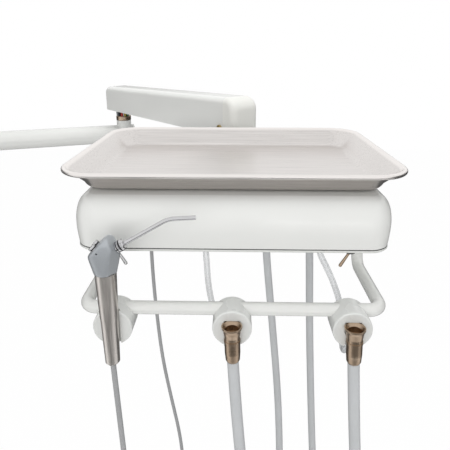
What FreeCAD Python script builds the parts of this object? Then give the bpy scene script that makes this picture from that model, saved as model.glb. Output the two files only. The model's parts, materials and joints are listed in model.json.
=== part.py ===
"""Dental delivery unit: a rigid arm with its post pin, a parallelogram lift arm, and a swivelling head.

The head carries a lift-off tray, a bar with three holders, a three-way syringe, two hose terminals,
three hanging hoses and the valves. Millimetres; +Z up; the origin is the shoulder of the post pin.
"""
import FreeCAD, Part
import math
import os
import re
import Sketcher

SIZES = {
    # clearances and cuts shared by all pieces
    "run_gap": 0.05, "side_gap": 0.3, "seat_gap": 0.3, "open_gap": 0.4, "overrun": 1, "near": 0.01,
    # rigid arm: tube, post boss, post pin, end plug
    "tube_reach": 450, "tube_yaw": 20, "tube_d": 38.1, "tube_wall": 3, "tube_z": 25, "tube_past": 18,
    "boss_d": 48, "boss_tall": 50, "boss_edge": 4, "pin_d": 25.4, "pin_long": 60, "stub_d": 26,
    "pin_grip": 40, "pin_edge": 1.5,
    "plug_thick": 3, "plug_deep": 2, "plug_edge": 1.2,
    # hub of the lift arm: barrel, bushes, spindle, collar, retaining ring, air and water tubes
    "barrel_d": 30, "barrel_up": 11, "barrel_down": 4, "spindle_d": 20, "bush_wall": 1.25,
    "bush_long": 14,
    "collar_d": 31, "collar_tall": 9, "collar_edge": 1, "neck_tall": 13, "ring_d": 27, "ring_thick": 3,
    "ring_end": 2, "supply_d": 4.4, "supply_gap": 0.4, "supply_first": 257, "supply_step": 30,
    # lift arm: cover, front cap, beam, link, pins, knuckles
    "arm_pitch": 358, "arm_yaw": -48.5, "arm_wide": 52, "arm_wall": 4, "arm_over": 31, "arm_end_wall": 8,
    "arm_rear_tall": 49, "arm_front_tall": 60, "arm_edge": 10, "rear_crown": 15, "cap_crown": 20,
    "arm_cap_long": 24,
    "main_rise": 13, "link_rise": 20, "main_pin_d": 10, "link_pin_d": 6, "cheek_thick": 5, "beam_up": 3,
    "beam_tall": 20,
    "beam_past": 12, "floor_thick": 4, "floor_start": 52, "knuckle_up": 2, "knuckle_half": 13,
    "knuckle_crown": 6,
    "knuckle_top_half": 9, "knuckle_waist": 6, "spindle_grip": 5, "link_wide": 12, "link_tall": 10,
    "link_past": 7,
    "link_swing": 10, "link_edge": 4,
    # balance spring on its rod, brake screw
    "rod_d": 8, "rod_up": 9.5, "rod_start": 70, "rod_long": 220, "lug_thick": 6, "lug_wide": 12,
    "stop_d": 16,
    "stop_thick": 4, "spring_start": 88, "spring_long": 144, "spring_d": 15, "spring_bore": 9,
    "brake_up": 13, "brake_d": 9, "brake_proud": 3, "brake_shank_d": 6, "brake_edge": 0.8,
    # head: places of the swivel post and the tray plane
    "rim_over_arm": 21, "post_x": -2, "post_y": 302,
    # tray
    "tray_wide": 340, "tray_deep": 245, "tray_tall": 22, "tray_corner": 38, "tray_flange": 6,
    "tray_slope": 18,
    "tray_sheet": 1.2, "tray_lip": 5, "tray_low_corner": 20,
    # head cover and base plate
    "cover_wide": 308, "cover_deep": 264, "cover_front": -2, "cover_tall": 49.5, "cover_corner": 24,
    "cover_wall": 3.5,
    "cover_foot_in": 1.6, "cover_waist_in": 2.2, "cover_crown_in": 7, "cover_top_in": 14,
    "boss_r": 5, "boss_in": 28, "screw_r": 2, "screw_grip": 12,
    "screw_spare": 1,
    "screw_head_r": 3.5, "screw_head_tall": 2.2, "hole_gap": 0.2,
    "plate_in": 2, "plate_end_in": 4, "plate_thick": 4.5, "plate_corner": 22, "plate_edge": 2,
    "pad_r": 8, "pad_tall": 1.2, "pad_x": 110, "pad_front": 60, "pad_rear": 190,
    # head bracket with the swivel socket
    "socket_d": 34, "socket_top": -40, "socket_tall": 34, "strap_wide": 40, "strap_thick": 7,
    "strap_front": 150,
    "strap_screw_x": 13, "strap_screw_front": 165, "strap_screw_rear": 225, "strap_screw_r": 2.5,
    "strap_head_r": 4, "strap_head_tall": 3.5,
    # control block
    "block_wide": 130, "block_deep": 60, "block_tall": 24, "block_front": 62, "block_edge": 2,
    "turret_r": 7,
    "turret_tall": 6, "turret_pitch": 40,
    # holder bar
    "bar_d": 12.7, "bar_in": 10, "bar_y": -9, "bar_drop": 54, "bar_rear": 88,
    "bar_screw_r": 3, "bar_screw_grip": 15, "bar_head_r": 4.5, "bar_head_tall": 4,
    # holders
    "holder_pitch": 112, "holder_d": 37, "holder_face": -28, "holder_long": 26, "holder_drop": 10,
    "holder_edge": 1.5, "hang_up": 1,
    "nest_deep": 4.5, "nest_half": 7.8, "nest_over": 0.8, "nest_low": 1.5, "slot_wide": 11.6,
    "slot_start": 5, "groove_wide": 14.4, "lip_wide": 15, "lip_down": 9,
    "valve_r": 2.5, "valve_down": 11, "valve_long": 8, "valve_proud": 3.4, "valve_free": 2.2,
    "valve_edge": 0.6,
    "barb_r": 2.6, "barb_long": 5, "barb_y": -8, "grub_r": 2.5, "grub_long": 10, "grub_x": 9,
    # hose terminals
    "stand_off": 6.5, "hose_lean": 1.8, "term_top": 7, "term_low": 29, "flare_r": 9.6, "flare_lip": 1,
    "bell_r": 8.3, "bell_up": 3, "body_r": 7.3,
    "flare_low": 3, "mouth_r": 8.4, "mouth_in_r": 6.2, "mouth_cone": 3, "mouth_deep": 10,
    "port_big_r": 1.5, "port_small_r": 1.1,
    "port_ring": 3.3, "port_deep": 2.5, "seam_down": 6.5, "seam_r": 7.7, "seam_tall": 2, "skirt_r": 6.7,
    "skirt_end_r": 5.9,
    "skirt_taper": 9, "skirt_edge": 1.4,
    # three-way syringe
    "syringe_lean": 0.4, "grip_low": 33.5, "grip_top": 53.5, "grip_low_r": 6.75, "grip_top_r": 9.5,
    "grip_end_r": 5,
    "grip_edge": 2, "grip_step": 0.25, "grip_step_up": 15, "body_top": 90.5, "body_wide": 21,
    "body_neck": 9.8,
    "body_side": 14, "body_side_up": 72.5, "body_shoulder": 79, "body_shoulder_in": 1, "body_edge": 5,
    "crown_left": 1.5, "crown_right": 8.6, "crown_drop": 1, "facet_low": 78.5, "facet_out": 15,
    "button_r": 3.4, "button_proud": 3.4, "button_grip": 4, "button_deep": 7, "button_pitch": 9.4,
    "button_edge": 0.8,
    "dimple_r": 1, "dimple_deep": 2, "dimple_x": 4.5, "dimple_up": 75.5,
    "tip_d": 3.8, "tip_seat": 9, "tip_straight": 53, "tip_end": 24, "tip_bend": 26, "tip_turn": 27,
    "nut_r": 5.2, "nut_long": 8, "nut_edge": 1,
    # toggle valves
    "toggle_in": 37.5, "toggle_y": 12, "toggle_ring_r": 5, "toggle_ring_tall": 3.6, "toggle_bore_r": 2.7,
    "toggle_drop": 3.4, "toggle_ball_r": 2.2, "toggle_neck_r": 1.25, "toggle_long": 18.5,
    "toggle_end_r": 1.7,
    "toggle_slant": 150,
    # hose and tube exits on the base plate
    "hose_d": 11, "line_d": 5.2, "clear_d": 6.35, "exit_y": 215, "line_exit_x": -120, "mid_exit_x": 43,
    "right_exit_x": 107, "gland_r": 8.5, "gland_tall": 8, "gland_neck_r": 4.5, "gland_up": 3,
    "fitting_y": 37, "mid_fitting_x": -29, "right_fitting_x": 88, "fitting_r": 5, "fitting_tall": 4,
    "fitting_neck_r": 3,
}

# the share of the shorter run that each end of a cord's bend takes
BEND_SHARE = 0.45
# heights of the cover's sections above its foot
COVER_HEIGHT_SHARES = (0, 0.42, 0.74, 0.92, 1)
COVER_INSETS = ("cover_foot_in", "0", "cover_waist_in", "cover_crown_in", "cover_top_in")

PLACES = {
    "tube_top": "tube_z + tube_d / 2",
    "barrel_low": "tube_z - tube_d / 2 - barrel_down",
    "barrel_top": "tube_top + barrel_up",
    "bush_r": "spindle_d / 2 + run_gap + bush_wall",
    "collar_low": "barrel_top + seat_gap",
    "collar_top": "collar_low + collar_tall",
    "arm_low": "collar_top + neck_tall",
    "main_z": "arm_low + main_rise",
    "link_z": "main_z + link_rise",
    "knuckle_low": "arm_low + knuckle_up",
    "hub_x": "tube_reach * cos(tube_yaw)",
    "hub_y": "tube_reach * sin(tube_yaw)",
    "front_x": "hub_x + arm_pitch * cos(arm_yaw)",
    "front_y": "hub_y + arm_pitch * sin(arm_yaw)",
    "arm_end": "arm_pitch + arm_over",
    "seam_u": "arm_end - arm_cap_long",
    "brake_u": "arm_pitch",
    "rear_top": "arm_low + arm_rear_tall",
    "front_top": "arm_low + arm_front_tall",
    "seam_top": "rear_top + (front_top - rear_top) * (seam_u + arm_over) / (arm_end + arm_over)",
    "arm_inner": "arm_wide - 2 * arm_wall",
    "channel": "arm_inner - 2 * cheek_thick",
    "floor_top": "arm_low + beam_up + floor_thick",
    "rod_z": "floor_top + rod_up",
    "rim_z": "arm_low + rim_over_arm",
    "head_x": "front_x - post_x",
    "head_y": "front_y - post_y",
    "tray_low": "0 - tray_tall",
    "cover_top": "tray_low - seat_gap - pad_tall",
    "plate_top": "cover_top - cover_tall",
    "plate_low": "plate_top - plate_thick",
    "cover_mid": "cover_front + cover_deep / 2",
    "boss_x": "cover_wide / 2 - boss_in",
    "boss_front": "cover_front + boss_in",
    "boss_rear": "cover_front + cover_deep - boss_in",
    "plate_wide": "cover_wide - 2 * plate_in",
    "plate_deep": "cover_deep - 2 * plate_end_in",
    "bar_z": "plate_low - bar_drop",
    "bar_span": "cover_wide - 2 * bar_in",
    "bar_bend": "bar_span / 2 - holder_pitch - holder_d / 2",
    "holder_z": "bar_z - holder_drop",
    "holder_low": "holder_z - holder_d / 2",
    "hang_z": "holder_z + hang_up",
    "holder_back": "holder_face + holder_long",
    "nest_floor": "holder_face + nest_deep",
    "grip_y": "holder_face - stand_off",
    "socket_low": "socket_top - socket_tall",
    "mouth_floor": "term_top - mouth_deep",
    "slope_x": "0 - (body_side - body_shoulder_in + crown_left) / 2",
    "slope_z": "(body_shoulder + body_top) / 2",
    "facet_x": "(crown_right + facet_out) / 2",
    "facet_z": "(body_top - crown_drop + facet_low) / 2",
    "button_slope": "atan((body_top - body_shoulder) / (body_side - body_shoulder_in - crown_left)) / 1 deg",
    "tip_rise": "atan((facet_out - crown_right) / (body_top - crown_drop - facet_low)) / 1 deg",
    "toggle_x": "plate_wide / 2 - toggle_in",
    "toggle_z": "plate_low - toggle_drop",
}

V = FreeCAD.Vector
WORD = re.compile(r"[a-z][a-z0-9_]*")
doc = FreeCAD.newDocument("DeliveryUnit")
sheet = doc.addObject("Spreadsheet::Sheet", "Sheet")
for row, (alias, size) in enumerate(SIZES.items(), 1):
    sheet.set(f"A{row}", str(size))
    sheet.setAlias(f"A{row}", alias)
doc.recompute()
NODES = []


def ex(text):
    """A sheet expression: size names become cell references, place names their formulas."""
    def cell(match):
        word = match.group()
        if word in SIZES:
            return "Sheet." + word
        return "(" + ex(PLACES[word]) + ")" if word in PLACES else word
    return WORD.sub(cell, str(text))


def val(text):
    """The number that an expression gives with the sheet's sizes."""
    return float(sheet.evalExpression(ex(text)))


def point(*texts):
    return V(*(val(text) for text in texts))


UP, ACROSS = V(0, 0, 1), V(0, 1, 0)


def leaning(x, z, frame_x, lean):
    """The place of a point (x, z) of an instrument that leans about Y, in the model's frame."""
    return (f"{frame_x} + ({x}) * cos({lean}) - ({z}) * sin({lean})",
            f"rim_z + hang_z + ({x}) * sin({lean}) + ({z}) * cos({lean})")


LEFT_X, MID_X, RIGHT_X = "head_x - holder_pitch", "head_x", "head_x + holder_pitch"
TIP_X, TIP_Z = leaning("facet_x", "facet_z", LEFT_X, "syringe_lean")
SLOPE_X, SLOPE_Z = leaning("slope_x", "slope_z", LEFT_X, "syringe_lean")
FRAMES = {
    "root": ("0", "0", "0", UP, "0"),
    "tube": ("0", "0", "tube_z", UP, "tube_yaw"),
    "hub": ("hub_x", "hub_y", "0", UP, "arm_yaw"),
    "front": ("front_x", "front_y", "0", UP, "arm_yaw"),
    "head": ("head_x", "head_y", "rim_z", UP, "0"),
    "syringe": (LEFT_X, "head_y + grip_y", "rim_z + hang_z", ACROSS, "0 - syringe_lean"),
    "terminal_mid": (MID_X, "head_y + grip_y", "rim_z + hang_z", ACROSS, "0 - hose_lean"),
    "terminal_right": (RIGHT_X, "head_y + grip_y", "rim_z + hang_z", ACROSS, "0 - hose_lean"),
    "tip": (TIP_X, "head_y + grip_y", TIP_Z, ACROSS, "90 - tip_rise - syringe_lean"),
    "air": (SLOPE_X, "head_y + grip_y - button_pitch / 2", SLOPE_Z, ACROSS,
            "0 - button_slope - syringe_lean"),
    "water": (SLOPE_X, "head_y + grip_y + button_pitch / 2", SLOPE_Z, ACROSS,
              "0 - button_slope - syringe_lean"),
    "toggle_left": ("head_x - toggle_x", "head_y + toggle_y", "rim_z + toggle_z", ACROSS, "toggle_slant"),
    "toggle_right": ("head_x + toggle_x", "head_y + toggle_y", "rim_z + toggle_z", ACROSS,
                     "0 - toggle_slant"),
}


def seat(made, frame):
    """Bind an object's Placement to a frame: place, and a turn about one axis."""
    x, y, z, axis, turn = FRAMES[frame]
    made.Placement = FreeCAD.Placement(point(x, y, z), FreeCAD.Rotation(axis, val(turn) or val("near")))
    for part, text in (("Base.x", x), ("Base.y", y), ("Base.z", z), ("Rotation.Angle", turn)):
        made.setExpression("Placement." + part, ex(text))


def polygon(sketch, corners):
    """A closed outline of straight lines with every corner bound to the sheet."""
    spots = [point(u, v, "0") for u, v in corners]
    lines = [sketch.addGeometry(Part.LineSegment(a, b), False) for a,
             b in zip(spots, spots[1:] + spots[:1])]
    for line, following in zip(lines, lines[1:] + lines[:1]):
        sketch.addConstraint(Sketcher.Constraint("Coincident", line, 2, following, 1))
    for line, spot, (u, v) in zip(lines, spots, corners):
        hold(sketch, "DistanceX", line, 1, spot.x, u)
        hold(sketch, "DistanceY", line, 1, spot.y, v)


def hold(sketch, kind, *terms):
    """One constraint whose value follows the expression that is the last term."""
    index = sketch.addConstraint(Sketcher.Constraint(kind, *terms[:-1]))
    sketch.setExpression(f"Constraints[{index}]", ex(terms[-1]))


def circle(sketch, u, v, r):
    made = sketch.addGeometry(Part.Circle(point(u, v, "0"), UP, val(r)), False)
    hold(sketch, "Radius", made, val(r), r)
    hold(sketch, "DistanceX", made, 3, val(u), u)
    hold(sketch, "DistanceY", made, 3, val(v), v)


def rounded(sketch, u, v, wide, deep, r):
    """A rectangle about (u, v) with equal rounded corners."""
    sides = (f"{u} - ({wide}) / 2", f"{u} + ({wide}) / 2", f"{v} - ({deep}) / 2", f"{v} + ({deep}) / 2")
    (x0, x1, y0, y1), bend = (val(side) for side in sides), val(r)
    quarter = math.pi / 2

    def line(*ends):
        return sketch.addGeometry(Part.LineSegment(V(*ends[:2], 0), V(*ends[2:], 0)), False)

    def arc(x, y, start):
        arc_of = Part.ArcOfCircle(Part.Circle(V(x, y, 0), UP, bend), start, start + quarter)
        return sketch.addGeometry(arc_of, False)

    ring = [line(x0 + bend, y0, x1 - bend, y0), arc(x1 - bend, y0 + bend, -quarter),
            line(x1, y0 + bend, x1, y1 - bend), arc(x1 - bend, y1 - bend, 0),
            line(x1 - bend, y1, x0 + bend, y1), arc(x0 + bend, y1 - bend, quarter),
            line(x0, y1 - bend, x0, y0 + bend), arc(x0 + bend, y0 + bend, math.pi)]
    for one, following in zip(ring, ring[1:] + ring[:1]):
        sketch.addConstraint(Sketcher.Constraint("Tangent", one, 2, following, 1))
    for level, kind in zip(ring[::2], ("Horizontal", "Vertical") * 2):
        sketch.addConstraint(Sketcher.Constraint(kind, level))
    for corner in ring[3::2]:
        sketch.addConstraint(Sketcher.Constraint("Equal", ring[1], corner))
    hold(sketch, "Radius", ring[1], bend, r)
    hold(sketch, "DistanceX", ring[6], 1, x0, sides[0])
    hold(sketch, "DistanceX", ring[2], 1, x1, sides[1])
    hold(sketch, "DistanceY", ring[0], 1, y0, sides[2])
    hold(sketch, "DistanceY", ring[4], 1, y1, sides[3])


class Piece:
    """One sub-part: a body whose sketches and features are bound to the sheet."""

    def __init__(self, label, frame="root"):
        self.body = doc.addObject("PartDesign::Body", label)
        self.body.Label = label
        self.body.AllowCompound = True
        seat(self.body, frame)
        NODES.append(self.body)

    def sketch(self, role, lift="0"):
        made = self.body.newObject("Sketcher::SketchObject", self.body.Label + "_outline")
        made.AttachmentSupport = (next(f for f in self.body.Origin.OriginFeatures if f.Role == role),
                                  [""])
        made.MapMode = "FlatFace"
        made.setExpression("AttachmentOffset.Base.z", ex(lift))
        return made

    def feature(self, kind, **settings):
        made = self.body.newObject("PartDesign::" + kind, self.body.Label + "_" + kind.lower())
        for name, setting in settings.items():
            setattr(made, name, setting)
        return made

    def extrude(self, sketch, length, cut=False, back=False):
        """Pad a sketch along its normal, or cut the same space away; back turns the direction round."""
        before = self.body.Shape.Volume if cut else 0
        made = self.feature("Pocket" if cut else "Pad", Profile=sketch, Reversed=cut != back)
        made.setExpression("Length", ex(length))
        doc.recompute()
        if cut and self.body.Shape.Volume >= before:
            raise ValueError(self.body.Label + ": a pocket cuts nothing")
        return self

    def discs(self, spots, r, low, tall, cut=False):
        """Upright cylinders at the places (x, y)."""
        sketch = self.sketch("XY_Plane", low)
        for x, y in spots:
            circle(sketch, x, y, r)
        return self.extrude(sketch, tall, cut)

    def block(self, corners, low, tall, cut=False):
        sketch = self.sketch("XY_Plane", low)
        polygon(sketch, corners)
        return self.extrude(sketch, tall, cut)

    def rounded_block(self, outline, low, tall, cut=False):
        sketch = self.sketch("XY_Plane", low)
        rounded(sketch, *outline)
        return self.extrude(sketch, tall, cut)

    def side(self, corners, wide, cut=False, y="0"):
        """An outline in (x, z), made as wide as given about the plane y."""
        sketch = self.sketch("XZ_Plane", f"0 - ({y}) - ({wide}) / 2")
        polygon(sketch, corners)
        return self.extrude(sketch, wide, cut)

    def rod_y(self, spots, r, y, length, cut=False):
        """Cylinders at the places (x, z), from y towards the viewer."""
        sketch = self.sketch("XZ_Plane", f"0 - ({y})")
        for x, z in spots:
            circle(sketch, x, z, r)
        return self.extrude(sketch, length, cut)

    def rod_x(self, y, z, r, x, length, cut=False):
        sketch = self.sketch("YZ_Plane", x)
        circle(sketch, y, z, r)
        return self.extrude(sketch, length, cut)

    def turned(self, profile):
        """A profile of (radius, height) turned about the upright axis."""
        sketch = self.sketch("XZ_Plane")
        polygon(sketch, profile)
        self.feature("Revolution", Profile=sketch, ReferenceAxis=(sketch, ["V_Axis"]), Angle=360)
        doc.recompute()
        return self

    def loft(self, sections, cut=False, ruled=False):
        """A loft through rounded rectangles (height, outline)."""
        drawn = []
        for lift, outline in sections:
            drawn.append(self.sketch("XY_Plane", lift))
            rounded(drawn[-1], *outline)
        before = self.body.Shape.Volume if cut else 0
        self.feature("SubtractiveLoft" if cut else "AdditiveLoft", Profile=drawn[0], Sections=drawn[1:],
                     Ruled=ruled)
        doc.recompute()
        if cut and self.body.Shape.Volume >= before:
            raise ValueError(self.body.Label + ": a loft cuts nothing")
        return self

    def bore_in(self, x, y, z, tilt, r, deep):
        """A blind bore that starts at a sloping face, whose normal leans by tilt from the upright."""
        out_x, out_z = f"{x} + overrun * sin({tilt})", f"{z} + overrun * cos({tilt})"
        sketch = self.sketch("XY_Plane")
        sketch.AttachmentOffset = FreeCAD.Placement(point(out_x, y, out_z),
                                                    FreeCAD.Rotation(ACROSS, val(tilt)))
        for part, text in (("Base.x", out_x), ("Base.y", y), ("Base.z", out_z), ("Rotation.Angle", tilt)):
            sketch.setExpression("AttachmentOffset." + part, ex(text))
        circle(sketch, "0", "0", r)
        return self.extrude(sketch, f"{deep} + overrun", cut=True, back=True)

    def fillet(self, r, wanted, kind="Fillet"):
        """Round or bevel the edges that the test picks."""
        base = self.body.Tip
        names = [f"Edge{n}" for n, edge in enumerate(base.Shape.Edges, 1) if wanted(edge)]
        made = self.feature(kind, Base=(base, names))
        made.setExpression("Size" if kind == "Chamfer" else "Radius", ex(r))
        doc.recompute()
        return self


def on(edge, axis, text):
    """Whether an edge lies in the plane where the axis has the given value."""
    box, level, near = edge.BoundBox, val(text), val("near")
    return abs(getattr(box, axis + "Min") - level) < near and abs(getattr(box,
                                                                          axis + "Max") - level) < near


def upright(edge):
    return edge.BoundBox.XLength < val("near") and edge.BoundBox.YLength < val("near")


def path(corners, bend=None):
    """Straight runs joined by tangent arcs; each arc takes its share of the shorter run, or a set radius."""
    edges, radii, start = [], [], corners[0]
    for before, corner, after in zip(corners, corners[1:], corners[2:]):
        back, on_way = before - corner, after - corner
        half = (math.pi - back.getAngle(on_way)) / 2
        cut = bend * math.tan(half) if bend else BEND_SHARE * min(back.Length, on_way.Length)
        radius = cut / math.tan(half)
        back.normalize()
        on_way.normalize()
        inward = (back + on_way).normalize()
        first, last = corner + back * cut, corner + on_way * cut
        middle = corner + inward * (radius / math.cos(half) - radius)
        edges += [Part.LineSegment(start, first).toShape(), Part.Arc(first, middle, last).toShape()]
        radii.append(radius)
        start = last
    edges.append(Part.LineSegment(start, corners[-1]).toShape())
    return Part.Wire(edges), radii


def tube(corners, diameter, bend=None):
    """A round bar along a path, with its volume compared with section times length."""
    wire, radii = path(corners, bend)
    ring = Part.Wire([Part.Circle(corners[0], corners[1] - corners[0], diameter / 2).toShape()])
    solid = wire.makePipeShell([ring], True, False)
    expected = math.pi * diameter ** 2 / 4 * wire.Length
    return solid, wire.Length, min(radii), solid.Volume / expected


def swept(label, frame, shape):
    made = doc.addObject("Part::Feature", label)
    made.Label = label
    made.Shape = shape
    seat(made, frame)
    NODES.append(made)


# rigid arm: a tube between the post boss and the hub barrel, both welded across it
piece = Piece("rigid_arm_tube", "tube")
piece.rod_x("0", "0", "tube_d / 2", "0", "tube_reach + tube_past")
piece.rod_x("0", "0", "tube_d / 2 - tube_wall", "0", "tube_reach + tube_past", cut=True)
piece.discs([("0", "0")], "boss_d / 2", "0 - tube_d", "2 * tube_d", cut=True)
piece.discs([("tube_reach", "0")], "barrel_d / 2", "0 - tube_d", "2 * tube_d", cut=True)
piece = Piece("mount_boss")
piece.turned([("stub_d / 2", "0"), ("boss_d / 2", "0"), ("boss_d / 2", "boss_tall - boss_edge"),
              ("boss_d / 2 - boss_edge", "boss_tall"), ("0", "boss_tall"), ("0", "pin_grip"),
              ("stub_d / 2", "pin_grip")])
piece = Piece("mount_pin")
piece.turned([("0", "0 - pin_long"), ("pin_d / 2 - pin_edge", "0 - pin_long"),
              ("pin_d / 2", "pin_edge - pin_long"),
              ("pin_d / 2", "0"), ("stub_d / 2", "0"), ("stub_d / 2", "pin_grip"), ("0", "pin_grip")])
piece = Piece("arm_end_plug", "tube")
piece.rod_x("0", "0", "tube_d / 2", "tube_reach + tube_past", "plug_thick")
piece.fillet("plug_edge", lambda edge: on(edge, "X", "tube_reach + tube_past + plug_thick"))
piece.rod_x("0", "0", "tube_d / 2 - tube_wall - run_gap", "tube_reach + tube_past - plug_deep",
            "plug_deep")


def bushes(label, frame, spot, low, high):
    """A pair of plain bushes at both ends of a socket."""
    made = Piece(label, frame)
    for start in (low, f"{high} - bush_long"):
        made.discs([spot], "bush_r", start, "bush_long")
    made.discs([spot], "spindle_d / 2 + run_gap", f"{low} - overrun", f"{high} - ({low}) + 2 * overrun",
               cut=True)


def socket(label, low, high):
    """A barrel with a through bore for a pair of bushes."""
    made = Piece(label, "hub")
    made.discs([("0", "0")], "barrel_d / 2", low, f"{high} - ({low})")
    made.discs([("0", "0")], "bush_r", f"{low} - overrun", f"{high} - ({low}) + 2 * overrun", cut=True)


def spindle(label, frame, spot, low, high):
    """An upright shaft, grooved near its lower end for a retaining ring."""
    made = Piece(label, frame)
    made.discs([spot], "spindle_d / 2", low, f"{high} - ({low})")
    made.fillet("collar_edge", lambda edge: on(edge, "Z", low), "Chamfer")


def retainer(label, frame, spot, low):
    """A ring clamped on a spindle below its socket."""
    made = Piece(label, frame)
    made.discs([spot], "ring_d / 2", low, "ring_thick")
    made.discs([spot], "spindle_d / 2", low, "ring_thick", cut=True)


# hub: the lift arm swivels in the barrel on a collar
HUB = ("0", "0")
RING_LOW = "barrel_low - seat_gap - ring_thick"
socket("hub_barrel", "barrel_low", "barrel_top")
bushes("hub_bushes", "hub", HUB, "barrel_low", "barrel_top")
spindle("rear_spindle", "hub", HUB, f"{RING_LOW} - ring_end", "knuckle_low + spindle_grip")
retainer("hub_retainer", "hub", HUB, RING_LOW)
piece = Piece("hub_collar", "hub")
piece.discs([HUB], "collar_d / 2", "collar_low", "collar_tall")
piece.fillet("collar_edge", lambda edge: on(edge, "Z", "collar_low") or on(edge, "Z", "collar_top"))
piece.discs([HUB], "spindle_d / 2", "collar_low", "collar_tall", cut=True)
SUPPLY_R = "(spindle_d / 2 + supply_gap + supply_d / 2)"
SUPPLY = [f"(supply_first + {count} * supply_step)" for count in range(5)]
piece = Piece("supply_tubes", "hub")
piece.discs([(f"{SUPPLY_R} * cos{turn}", f"{SUPPLY_R} * sin{turn}") for turn in SUPPLY], "supply_d / 2",
            "collar_top", "knuckle_low - collar_top")


def knuckle(label, frame):
    """A fork on a spindle: it carries the beam on a pin and the link on a second pin above."""
    made = Piece(label, frame)
    waist, top = "main_z + knuckle_waist", "link_z + knuckle_crown"
    made.side([("0 - knuckle_half", "knuckle_low"), ("knuckle_half", "knuckle_low"),
               ("knuckle_half", waist),
               ("knuckle_top_half", top), ("0 - knuckle_top_half", top), ("0 - knuckle_half", waist)],
              "channel - 2 * side_gap")
    slot_low = "link_z - link_swing"
    made.side([("0 - knuckle_half - overrun", slot_low), ("knuckle_half + overrun", slot_low),
               ("knuckle_half + overrun", f"{top} + overrun"),
               ("0 - knuckle_half - overrun", f"{top} + overrun")],
              "link_wide + 2 * side_gap", cut=True)
    made.rod_y([("0", "main_z")], "main_pin_d / 2", "channel / 2", "channel", cut=True)
    made.rod_y([("0", "link_z")], "link_pin_d / 2", "channel / 2", "channel", cut=True)
    made.discs([("0", "0")], "spindle_d / 2", "knuckle_low", "spindle_grip", cut=True)


def cross_pins(label, frame):
    """The beam's pin and the link's pin, both held in a knuckle."""
    made = Piece(label, frame)
    for z, diameter, long in (("main_z", "main_pin_d", "arm_inner - 2 * side_gap"),
                              ("link_z", "link_pin_d", "channel - 2 * side_gap")):
        made.rod_y([("0", z)], f"{diameter} / 2", f"({long}) / 2", long)


for end, frame in (("rear", "hub"), ("front", "front")):
    knuckle(end + "_knuckle", frame)
    cross_pins(end + "_pins", frame)

def arm_rim(edge):
    """Whether an edge borders a side face of the lift arm, above its open foot and away from the seam."""
    level = edge.BoundBox.YLength < val("near")
    return level and not on(edge, "Z", "arm_low") and not on(edge, "X", "seam_u")


# lift arm: an open-bottomed cover and front cap over the beam, with the parallel link above it
piece = Piece("arm_cover", "hub")
piece.side([("0 - arm_over", "arm_low"), ("seam_u", "arm_low"), ("seam_u", "seam_top"),
            ("0 - arm_over", "rear_top")],
           "arm_wide")
piece.fillet("rear_crown", lambda edge: on(edge, "X", "0 - arm_over") and on(edge, "Z", "rear_top"))
piece.fillet("arm_edge", arm_rim)
INSIDE = "arm_end_wall - arm_over"
piece.side([(INSIDE, "arm_low - overrun"), ("seam_u + overrun", "arm_low - overrun"),
            ("seam_u + overrun", "seam_top - arm_wall"), ("rear_crown - arm_over", "rear_top - arm_wall"),
            (INSIDE, "rear_top - rear_crown")], "arm_inner", cut=True)
piece.rod_y([("brake_u", "arm_low + brake_up")], "brake_shank_d / 2", "0", "arm_wide", cut=True)
piece = Piece("arm_front_cap", "hub")
piece.side([("seam_u", "arm_low"), ("arm_end", "arm_low"), ("arm_end", "front_top"),
            ("seam_u", "seam_top")], "arm_wide")
piece.fillet("cap_crown", lambda edge: on(edge, "X", "arm_end") and on(edge, "Z", "front_top"))
piece.fillet("arm_edge", arm_rim)
piece.side([("seam_u - overrun", "arm_low - overrun"), ("arm_end - arm_end_wall", "arm_low - overrun"),
            ("arm_end - arm_end_wall", "front_top - cap_crown"),
            ("arm_end - cap_crown", "front_top - arm_wall - overrun"),
            ("seam_u - overrun", "seam_top - arm_wall")],
           "arm_inner", cut=True)
piece = Piece("arm_beam", "hub")
BEAM_LOW, BEAM_TOP = "arm_low + beam_up", "arm_low + beam_up + beam_tall"
piece.side([("0 - beam_past", BEAM_LOW), ("arm_pitch + beam_past", BEAM_LOW),
            ("arm_pitch + beam_past", BEAM_TOP),
            ("0 - beam_past", BEAM_TOP)], "arm_inner")
BEAM_ENDS = ("0 - beam_past - overrun", "arm_pitch + beam_past + overrun")
FLOOR_ENDS = (("floor_start", BEAM_ENDS[0]), ("arm_pitch - floor_start", BEAM_ENDS[1]))


def across(near_x, far_x, wide):
    return [(near_x, f"0 - {wide} / 2"), (far_x, f"0 - {wide} / 2"), (far_x, f"{wide} / 2"),
            (near_x, f"{wide} / 2")]


piece.block(across(*BEAM_ENDS, "channel"), "floor_top", "beam_tall", cut=True)
for near_x, far_x in FLOOR_ENDS:
    piece.block(across(near_x, far_x, "channel"), f"{BEAM_LOW} - overrun", "floor_thick + 2 * overrun",
                cut=True)
piece.rod_y([("0", "main_z"), ("arm_pitch", "main_z")], "main_pin_d / 2 + run_gap", "arm_wide / 2",
            "arm_wide", cut=True)
piece = Piece("link_bar", "hub")
LINK_LOW, LINK_TOP = "link_z - link_tall / 2", "link_z + link_tall / 2"
piece.side([("0 - link_past", LINK_LOW), ("arm_pitch + link_past", LINK_LOW),
            ("arm_pitch + link_past", LINK_TOP),
            ("0 - link_past", LINK_TOP)], "link_wide")
piece.fillet("link_edge", lambda edge: edge.BoundBox.YLength > val("link_wide / 2"))
piece.rod_y([("0", "link_z")], "link_pin_d / 2 + run_gap", "link_wide / 2", "link_wide", cut=True)
piece.rod_y([("arm_pitch", "link_z")], "link_pin_d / 2 + open_gap", "link_wide / 2", "link_wide",
            cut=True)

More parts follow.
